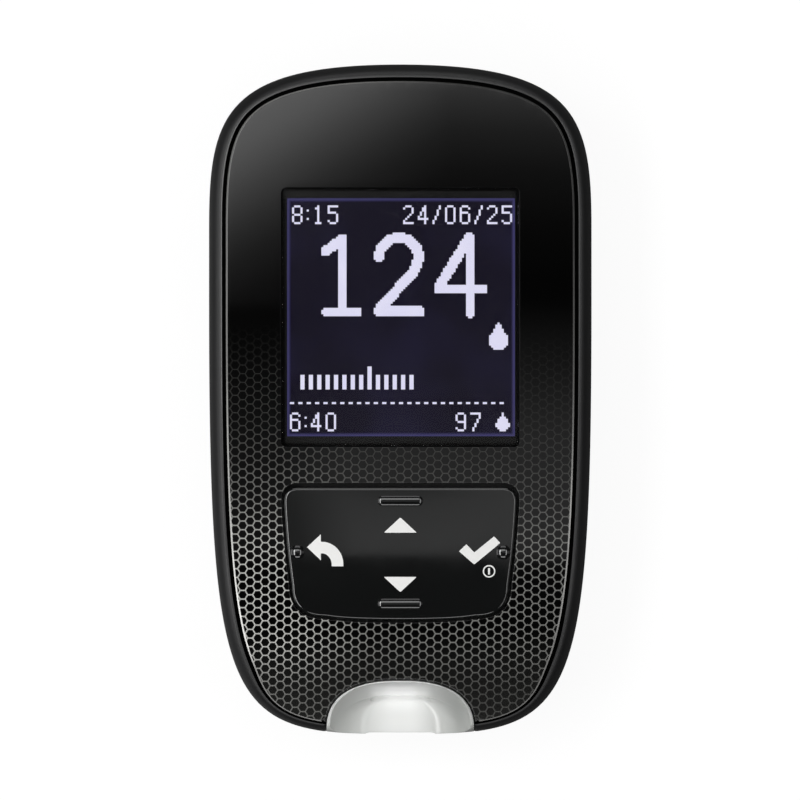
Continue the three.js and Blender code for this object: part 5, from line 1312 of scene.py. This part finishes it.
def printed(name, points, corner=0.0, hole=None):
    """A sign printed on the cap: a flat outline, given the thickness of its ink and laid on the cap."""
    line = [Vector((x * MM, y * MM)) for x, y in points]
    area = sum(a.x * b.y - b.x * a.y for a, b in zip(line, line[1:] + line[:1]))
    if area < 0:
        line.reverse()
    sign = prism(name, line, -2 * INK_THICKNESS, INK_THICKNESS)
    if corner:
        soften(sign, corner * MM, 4, lambda p, edge: abs(edge.z) > edge.length * 0.9)
    if hole:
        cut(sign, hole)
    laid(sign, 0.4 * MM, cap_height, weighted=False)
    fit_out(sign, 'key_pad', key_ink, 'key_gloss')


def key_signs():
    printed('sign_up', [(0, -14.25), (-2.0, -16.1), (2.0, -16.1)], 0.14)
    printed('sign_down', [(0, -23.3), (-2.0, -21.45), (2.0, -21.45)], 0.14)
    # Arrow that turns back: a pointed head, and a shaft that curves down to its foot
    outer = [(-9.5 + 2.6 * math.sin(angle), -19.9 + 2.7 * math.cos(angle)) for angle in quarter_turn(12)]
    inner = [(-9.5 + 1.2 * math.sin(angle), -20.0 + 1.4 * math.cos(angle)) for angle in quarter_turn(12)]
    arrow = [(-11.3, -17.86), (-9.62, -16.3), (-9.62, -17.2)] + outer[1:] + [(-6.9, -20.17)]
    arrow += [(-8.3, -20.17)] + list(reversed(inner[:-1])) + [(-9.62, -18.6), (-9.62, -19.45)]
    printed('sign_back', arrow)
    # Tick, where the cap is pressed to confirm
    printed('sign_tick', [
        (7.1, -18.35), (8.0, -17.5), (8.95, -18.5), (11.35, -16.55), (12.1, -17.35), (8.95, -19.95)], 0.08)
    # Switch sign: a ring with a bar
    x = 10.74
    y = -20.78
    hole = drum('ring_hole', x * MM, y * MM, -MM, MM, 0.6 * MM)
    printed('sign_switch_ring', circle(x, y, 0.76), hole=hole)
    printed('sign_switch_bar', [
        (x - 0.12, y - 0.38), (x + 0.12, y - 0.38), (x + 0.12, y + 0.38), (x - 0.12, y + 0.38)])


# Strip port: a scooped mouth that leads the strip into its slot

def full_front():
    """The whole front as one form, which the port is cut to."""
    side_gap = 0.06 * MM
    rings = [at_height(inset(CASE, side_gap), 8 * MM)] + rim_rings(side_gap, RIM_ROUND_INSET)
    for share in (0.97, 0.93, 0.88, 0.82, 0.75, 0.65, 0.5, 0.3, 0.1):
        rings.append(at_height([p * share for p in CROWN], front_height))
    return raised('full_front', rings)


def mouth_outline():
    """The low middle of the mouth, where a strip is led in: its ends run out softly."""
    right = []
    for step in range(9):
        share = step / 8
        right.append(Vector((MOUTH_HALF_WIDTH - MOUTH_RUN * share, MOUTH_END_Y + MOUTH_RISE * eased(share))))
    left = [Vector((-p.x, p.y)) for p in reversed(right)]
    outside_y = -43 * MM
    return [Vector((-MOUTH_HALF_WIDTH, outside_y)), Vector((MOUTH_HALF_WIDTH, outside_y))] + right + left


def strip_port():
    port = prism('strip_mouth', arch_outline(0), PORT_LOW, CASE_CUT[1])
    cut(port, full_front(), operation='INTERSECT')
    plan = [Vector(port_curve(step / 96 * TAU, PORT_HALF_WIDTH - PORT_RIM, PORT_LENGTH - PORT_RIM))
            for step in range(96)]
    rings = []
    for step, angle in enumerate(quarter_turn(22)):
        across = 1 - BOWL_NARROWING * (1 - math.cos(angle)) ** 0.9
        along = 1 - BOWL_SHORTENING * min(1, step / 9)
        z = BOWL_TOP - (BOWL_TOP - STRIP_FLOOR - STRIP_FLOOR_STEP) * math.sin(angle) ** 1.05
        rings.append([Vector((p.x * across, PORT_Y + p.y * along, z)) for p in plan])
    above = [Vector((p.x, PORT_Y + p.y, 23 * MM)) for p in plan]
    cut(
        port,
        raised('bowl_cut', [above] + rings),
        rounded_block('slot_cut', (-SLOT_HALF_WIDTH, SLOT_FRONT_Y, STRIP_FLOOR + SLOT_STEP),
                      (SLOT_HALF_WIDTH, SLOT_BACK_Y, STRIP_FLOOR + SLOT_HEIGHT)),
        prism('lip_cut', mouth_outline(), 5 * MM, STRIP_FLOOR + 0.5 * MM),
    )
    soften(port, 0.05 * MM, 2, lambda p, line: p.z > 15.5 * MM or p.y < -40.2 * MM, angle=40)
    smooth(port, 45)
    fit_out(port, 'case', port_plastic, 'port_white', 'strip_port')


# Rear cover, battery door, screws and ejector button

def back_rings():
    """The rounded back of the case, as lines from its flat up to the parting line."""
    rings = []
    for angle in quarter_turn(16):
        line = inset(CASE, BACK_ROUND_INSET * (1 - math.sin(angle)))
        rings.append(at_height(line, PARTING_Z * (1 - math.cos(angle))))
    return rings


def rear_cover():
    rings = back_rings()[:-1]
    lip = WALL - 0.75 * MM
    lip_top = PARTING_Z + 0.6 * MM
    for distance, z in (
        (0, PARTING_Z - SEAM_BEVEL),
        (SEAM_BEVEL * 0.3, PARTING_Z - SEAM_BEVEL * 0.3),
        (SEAM_BEVEL, PARTING_Z),
        (lip, PARTING_Z),
        (lip, lip_top),
        (WALL + 0.05 * MM, lip_top),
    ):
        rings.append(at_height(inset(CASE, distance), z))
    for angle in reversed(quarter_turn(8)):
        distance = WALL + (BACK_ROUND_INSET - WALL / 2) * (1 - math.sin(angle))
        z = WALL + (PARTING_Z - WALL) * (1 - math.cos(angle))
        rings.append(at_height(inset(CASE, distance), z))
    cover = raised('back_shell', rings)

    sunk = 0.8 * MM
    walls_x = 12 * MM
    walls = rounded_block('bay_walls', (-walls_x, BAY_FOOT_Y - WALL, sunk),
                          (walls_x, BAY_HEAD_Y + WALL, BAY_CEILING + BAY_CEILING_THICKNESS))
    cut(walls, rounded_block('bay_room', (-BAY_HALF_WIDTH, BAY_FOOT_Y, -MM),
                             (BAY_HALF_WIDTH, BAY_HEAD_Y, BAY_CEILING), BAY_CORNER, 3))
    pocket_x = POCKET_HALF_WIDTH + POCKET_WALL
    pocket = rounded_block('pocket_walls', (-pocket_x, TONGUE_END_Y - POCKET_WALL, sunk),
                           (pocket_x, -12 * MM, POCKET_TOP + POCKET_WALL))
    cut(cover, walls, pocket, operation='UNION')
    for name, x, y in SCREWS:
        cut(cover, drum(f'{name}_foot', x, y, sunk, 3.4 * MM, SCREW_BOSS_RADIUS, 32), operation='UNION')
    recess_top = DOOR_TOP + 0.1 * MM
    button_y = BUTTON_HALF_LENGTH + BUTTON_GAP

    def door_recess(grow):
        more = DOOR_GAP + grow
        return oblong(DOOR_HALF_WIDTH + more, DOOR_HALF_LENGTH + more, DOOR_Y, DOOR_CORNER + grow)

    def tongue_recess(grow):
        half_length = 2.1 * MM
        return oblong(POCKET_HALF_WIDTH + grow, half_length + grow, TONGUE_END_Y - DOOR_GAP + half_length,
                      BAY_CORNER + grow)

    cut(
        cover,
        opening('door_recess', door_recess, OPENING_ROUND, recess_top, -1),
        opening('tongue_recess', tongue_recess, OPENING_ROUND, recess_top, -1),
        rounded_block('tongue_pocket', (-POCKET_HALF_WIDTH, TONGUE_END_Y - DOOR_GAP, 0.5 * MM),
                      (POCKET_HALF_WIDTH, BAY_FOOT_Y - WALL, POCKET_TOP), BAY_CORNER, 4),
        rounded_block('bay_mouth', (-BAY_HALF_WIDTH, BAY_FOOT_Y, 0.5 * MM),
                      (BAY_HALF_WIDTH, BAY_HEAD_Y, 3 * MM), BAY_CORNER, 3),
        rounded_block('port_room', (-PORT_ROOM_HALF_WIDTH, -CASE_END, PARTING_Z),
                      (PORT_ROOM_HALF_WIDTH, PORT_ROOM_BACK_Y, PORT_ROOM_TOP)),
        socket_block(36 * MM),
        rounded_block('button_hole', (-25 * MM, BUTTON_Y - button_y, BUTTON_LOW - BUTTON_GAP),
                      (BUTTON_HOLE_INNER_X, BUTTON_Y + button_y, BUTTON_TOP + BUTTON_GAP),
                      BUTTON_HOLE_CORNER, 4, axis='X'),
        prism('mouth_relief', mouth_outline(), 5 * MM, 12 * MM),
    )
    select_none()
    bpy.ops.mesh.primitive_uv_sphere_add(
        segments=64, ring_count=48, radius=THUMB_NOTCH_RADIUS, location=(0, TONGUE_END_Y, THUMB_NOTCH_Z))
    notch = started('thumb_notch')
    bpy.ops.object.transform_apply(location=True)
    cut(cover, notch)
    for name, x, y in SCREWS:
        cut(cover, opening(f'{name}_well', lambda grow: circle(x, y, SCREW_WELL_RADIUS + grow),
                           OPENING_ROUND, SCREW_SEAT, -1))
    smooth(cover)
    fit_out(cover, 'case', case_plastic, 'case_plastic', 'rear_cover')


def battery_door():
    foot_y = DOOR_Y - DOOR_HALF_LENGTH
    door = rounded_block('door_panel', (-DOOR_HALF_WIDTH, foot_y, DOOR_LOW),
                         (DOOR_HALF_WIDTH, DOOR_Y + DOOR_HALF_LENGTH, DOOR_TOP), DOOR_CORNER)
    tongue = rounded_block('tongue', (-TONGUE_HALF_WIDTH, TONGUE_END_Y, DOOR_LOW),
                           (TONGUE_HALF_WIDTH, foot_y + MM, DOOR_TOP), TONGUE_CORNER, 6)
    cut(door, tongue, operation='UNION')
    for side in (-1, 1):
        edges = sorted((side * TONGUE_HALF_WIDTH, side * (TONGUE_HALF_WIDTH + SLIT_WIDTH)))
        cut(door, rounded_block('slit', (edges[0], foot_y - MM, -MM),
                                (edges[1], foot_y + SLIT_LENGTH, 3 * MM), SLIT_CORNER, 4))
    for index in range(3):
        y = foot_y + GRIP_START + index * GRIP_PITCH
        cut(door, rounded_block(f'grip_{index}', (-GRIP_HALF_LENGTH, y - GRIP_HALF_WIDTH, -0.5 * MM),
                                (GRIP_HALF_LENGTH, y + GRIP_HALF_WIDTH, DOOR_LOW + GRIP_HALF_WIDTH),
                                GRIP_CORNER, 5))
    soften(door, 0.2 * MM, 3, lambda p, line: p.z < DOOR_LOW + 0.01 * MM, angle=50)
    wall = rounded_block('tongue_wall', (-TONGUE_WALL_HALF_WIDTH, TONGUE_WALL_FRONT_Y, DOOR_TOP - 0.3 * MM),
                         (TONGUE_WALL_HALF_WIDTH, TONGUE_WALL_BACK_Y, TONGUE_WALL_TOP))
    cut(door, wall, operation='UNION')
    head_y = DOOR_Y + DOOR_HALF_LENGTH
    for x in (-LUG_X, LUG_X):
        lug = rounded_block('lug', (x - LUG_HALF_WIDTH, head_y - 1.5 * MM, DOOR_TOP - 0.1 * MM),
                            (x + LUG_HALF_WIDTH, head_y + LUG_REACH, LUG_TOP))
        cut(door, lug, operation='UNION')
    smooth(door)
    fit_out(door, 'battery_door', case_plastic, 'case_plastic', 'battery_door')


def case_screws():
    """One pan-headed screw with a cross recess, turned and pressed, then copied to its four places."""
    head = drum('screw', 0, 0, SCREW_HEAD_LOW, SCREW_SEAT, SCREW_HEAD_RADIUS)
    soften(head, 0.3 * MM, 4, lambda p, line: p.z < SCREW_HEAD_LOW + 0.01 * MM)
    for x, y in (reversed(SCREW_CROSS), SCREW_CROSS):
        cut(head, rounded_block('cross', (-x, -y, MM), (x, y, 2.1 * MM), 0.12 * MM, 3))
    shank = drum('shank', 0, 0, SCREW_SEAT - 0.1 * MM, SCREW_TIP, SCREW_SHANK_RADIUS, 24)
    cut(head, shank, operation='UNION')
    smooth(head, 35)
    for name, x, y in SCREWS:
        screw = copy_of(head, f'{name}_turned', x, y)
        fit_out(screw, 'case', screw_zinc, 'screw_zinc', name)
    bpy.data.objects.remove(head, do_unlink=True)


def case_half_width_at(y):
    """Half width of the case at a place along it."""
    return max(abs(p.x) for p in CASE if abs(p.y - y) < 0.5 * MM)


def ejector_button():
    """Side button that follows the round of the case, with three raised grip lines."""
    rings = [[Vector((p.x - BUTTON_PROUD, p.y, p.z)) for p in ring] for ring in back_rings()]
    form = raised('button_form', rings)
    button = rounded_block('ejector_face', (-26 * MM, BUTTON_Y - BUTTON_HALF_LENGTH, BUTTON_LOW),
                           (BUTTON_INNER_X, BUTTON_Y + BUTTON_HALF_LENGTH, BUTTON_TOP),
                           BUTTON_CORNER, 5, axis='X')
    cut(button, form, operation='INTERSECT')
    soften(button, 0.2 * MM, 3, lambda p, line: p.x < -19 * MM, angle=45)
    for index in (-1, 0, 1):
        select_none()
        bpy.ops.mesh.primitive_cylinder_add(vertices=24, radius=BUTTON_RIB_RADIUS, depth=BUTTON_RIB_LENGTH)
        rib = started('grip_line')
        y = BUTTON_Y + index * BUTTON_RIB_PITCH
        for vertex in rib.data.vertices:
            z = (BUTTON_LOW + BUTTON_TOP) / 2 + vertex.co.z
            side = BACK_ROUND_INSET * (1 - math.sqrt(1 - (1 - z / PARTING_Z) ** 2))
            x = side - case_half_width_at(y) - BUTTON_PROUD + BUTTON_RIB_SUNK
            vertex.co = Vector((x + vertex.co.x, y + vertex.co.y, z))
        cut(button, rib, operation='UNION')
    smooth(button)
    fit_out(button, 'ejector_button', case_plastic, 'case_plastic', 'ejector_button')


front_shell()
front_plate()
display_window()
display_pixels()
key_cap()
key_signs()
strip_port()
rear_cover()
battery_door()
case_screws()
ejector_button()

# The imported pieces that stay: each gets the finish of the real one
CARRIED = {
    'display_glass': display_field,
    'display_backlight': white_film,
    'display_holder': frame_plastic,
    'display_ribbon': amber_film,
    'ribbon_socket': frame_plastic,
    'key_pivot': frame_plastic,
    'key_mat': mat_silicone,
    'strip_connector': chip_plastic,
    'circuit_board': board_lacquer,
    'processor': chip_plastic,
    'radio_module': spring_steel,
    'memory_chip': chip_plastic,
    'clock_crystal': spring_steel,
    'beeper': chip_plastic,
    'usb_shell': spring_steel,
    'usb_tongue': chip_plastic,
    'ejector_pusher': lever_plastic,
    'ejector_spring': spring_steel,
}
for index in (1, 2):
    CARRIED[f'battery_cell_{index}'] = cell_steel
    CARRIED[f'negative_contact_{index}'] = spring_steel
    CARRIED[f'positive_contact_{index}'] = spring_steel
    CARRIED[f'port_light_{index}'] = lamp_resin
for index in range(1, 5):
    CARRIED[f'snap_dome_{index}'] = spring_steel
for index in range(1, 6):
    CARRIED[f'strip_contact_{index}'] = contact_gold
for name, material in CARRIED.items():
    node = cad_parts[name]
    node.data.materials.clear()
    node.data.materials.append(material)


# Studio

def stage_sheet(name, half_width, half_length, place, material):
    select_none()
    bpy.ops.mesh.primitive_plane_add(size=2)
    sheet = started(name)
    for vertex in sheet.data.vertices:
        vertex.co = Vector((vertex.co.x * half_width, vertex.co.y * half_length, 0)) + Vector(place)
    sheet.data.materials.append(material)


def paper():
    """Pale paper under the meter: it reads as white and keeps the shadow, and throws little light back."""
    material, tree, shader = finish('pale_paper', Roughness=0.9, Specular_IOR_Level=0.0)
    path = add(tree, 'ShaderNodeLightPath')
    tone = add(tree, 'ShaderNodeMix', {'data_type': 'RGBA'},
               in_0=path.outputs['Is Camera Ray'], in_6=colour('#5c5c5c'), in_7=colour('#ffffff'))
    tree.links.new(tone.outputs[2], shader.inputs['Base Color'])
    shine = add(tree, 'ShaderNodeEmission', Color=(1, 1, 1, 1), Strength=1.02)
    seen = add(tree, 'ShaderNodeMath', {'operation': 'MULTIPLY'},
               in_0=path.outputs['Is Camera Ray'], in_1=0.9)
    mixed = add(tree, 'ShaderNodeMixShader', in_0=seen.outputs[0],
                in_1=shader.outputs[0], in_2=shine.outputs[0])
    # From below the paper is open, so that the back of the meter can be seen and lit
    side = add(tree, 'ShaderNodeNewGeometry')
    below = add(tree, 'ShaderNodeMath', {'operation': 'MAXIMUM'},
                in_0=side.outputs['Backfacing'], in_1=path.outputs['Is Shadow Ray'])
    open_way = add(tree, 'ShaderNodeBsdfTransparent')
    sheet = add(tree, 'ShaderNodeMixShader', in_0=below.outputs[0],
                in_1=mixed.outputs[0], in_2=open_way.outputs[0])
    tree.links.new(sheet.outputs[0], tree.nodes['Material Output'].inputs['Surface'])
    return material


def lit_card(name, ways):
    """A card above the meter, lit unevenly: each way has a slant, a furthest x, and stops of light."""
    material = bpy.data.materials.new(name)
    material.use_nodes = True
    tree = material.node_tree
    tree.nodes.clear()
    place = add(tree, 'ShaderNodeTexCoord').outputs['Object']
    axes = add(tree, 'ShaderNodeSeparateXYZ', Vector=place)
    level = 1.0
    for slant_x, slant_y, furthest, stops in ways:
        held = add(tree, 'ShaderNodeMath', {'operation': 'MINIMUM'}, in_0=axes.outputs['X'], in_1=furthest)
        part = add(tree, 'ShaderNodeMath', {'operation': 'MULTIPLY'}, in_0=axes.outputs['Y'], in_1=slant_y)
        along = add(tree, 'ShaderNodeMath', {'operation': 'MULTIPLY_ADD'},
                    in_0=held.outputs[0], in_1=slant_x, in_2=part.outputs[0])
        level = add(tree, 'ShaderNodeMath', {'operation': 'MULTIPLY'},
                    in_0=follows(tree, along.outputs[0], stops), in_1=level).outputs[0]
    shine = add(tree, 'ShaderNodeEmission', Color=(1, 1, 1, 1), Strength=level)
    output = add(tree, 'ShaderNodeOutputMaterial')
    tree.links.new(shine.outputs[0], output.inputs['Surface'])
    return material


stage_sheet('paper', 0.6, 0.6, (0, 0, -0.02 * MM), paper())
CARD_Z = 2.4
# Above the camera: a low card over the keys that ends in a straight edge, and a high one to the top left
stage_sheet('key_card', 1.0, 0.14, (0, -0.035, CARD_Z), lit_card('key_card_paper', [
    (1.0, 0.0, 9.0, [(-0.45, 0.26), (-0.36, 0.31), (-0.265, 0.63), (-0.17, 0.95), (-0.08, 1.0)]),
    (0.0, 1.0, 9.0, [(-0.12, 0.48), (-0.04, 0.41), (0.03, 0.17), (0.11, 0.0)]),
]))
stage_sheet('corner_card', 1.1, 0.44, (-0.4, 0.54, CARD_Z), lit_card('corner_card_paper', [
    (-0.22, 1.0, 0.15, [(0.1, 0.0), (0.16, 0.03), (0.22, 0.1), (0.265, 0.27), (0.298, 0.56), (0.335, 1.12),
                        (0.387, 2.2), (0.45, 2.9)]),
]))

world = bpy.data.worlds.new('studio')
bpy.context.scene.world = world
world.use_nodes = True
tree = world.node_tree
tree.nodes.clear()
path = add(tree, 'ShaderNodeLightPath')
level = add(tree, 'ShaderNodeMapRange', Value=path.outputs['Is Camera Ray'],
            From_Min=0.0, From_Max=1.0, To_Min=0.015, To_Max=1.0)
backdrop = add(tree, 'ShaderNodeBackground', Color=(1, 1, 1, 1), Strength=level.outputs['Result'])
tree.links.new(backdrop.outputs[0], add(tree, 'ShaderNodeOutputWorld').inputs['Surface'])


def soft_lamp(name, width, length, power, place, aim=(0, 0, 0)):
    lamp = bpy.data.lights.new(name, 'AREA')
    lamp.shape = 'RECTANGLE'
    lamp.size = width
    lamp.size_y = length
    lamp.energy = power
    holder = bpy.data.objects.new(name, lamp)
    bpy.context.scene.collection.objects.link(holder)
    holder.location = place
    holder.rotation_euler = (Vector(aim) - Vector(place)).to_track_quat('-Z', 'Y').to_euler()


soft_lamp('left_softbox', 0.5, 1.9, 27.0, (-1.12, -0.1, 2.38), (-1.12, -0.1, 0))
soft_lamp('left_low_softbox', 1.3, 1.0, 6.0, (-1.3, 0.0, 0.62))
soft_lamp('right_softbox', 0.45, 1.9, 11.0, (1.1, -0.1, 2.38), (1.1, -0.1, 0))
soft_lamp('right_low_softbox', 0.6, 1.2, 0.9, (1.25, 0.0, 0.95))
soft_lamp('top_low_softbox', 1.2, 1.0, 5.0, (0.0, 1.3, 0.7))
soft_lamp('foot_softbox', 1.3, 0.6, 8.0, (0.0, -1.35, 1.5))
soft_lamp('under_softbox', 1.0, 1.6, 12.0, (-0.9, -0.5, -1.5))

# The photograph is 800 pixels wide, with 8.25 of them to a millimetre at the height of the rounded rim
PHOTO_PIXELS = 800
PIXELS_PER_MM = 8.25
SCALE_Z = 17 * MM
CAMERA_Z = 2.1
SENSOR_WIDTH = 36
camera = bpy.data.cameras.new('view')
camera.sensor_width = SENSOR_WIDTH
camera.lens = SENSOR_WIDTH * (CAMERA_Z - SCALE_Z) / (PHOTO_PIXELS / PIXELS_PER_MM * MM)
camera.clip_end = 10
viewer = bpy.data.objects.new('view', camera)
bpy.context.scene.collection.objects.link(viewer)
viewer.location = (-0.3 / PIXELS_PER_MM * MM, -0.35 / PIXELS_PER_MM * MM, CAMERA_Z)
bpy.context.scene.camera = viewer
bpy.context.scene.view_settings.view_transform = 'Standard'

select_none()
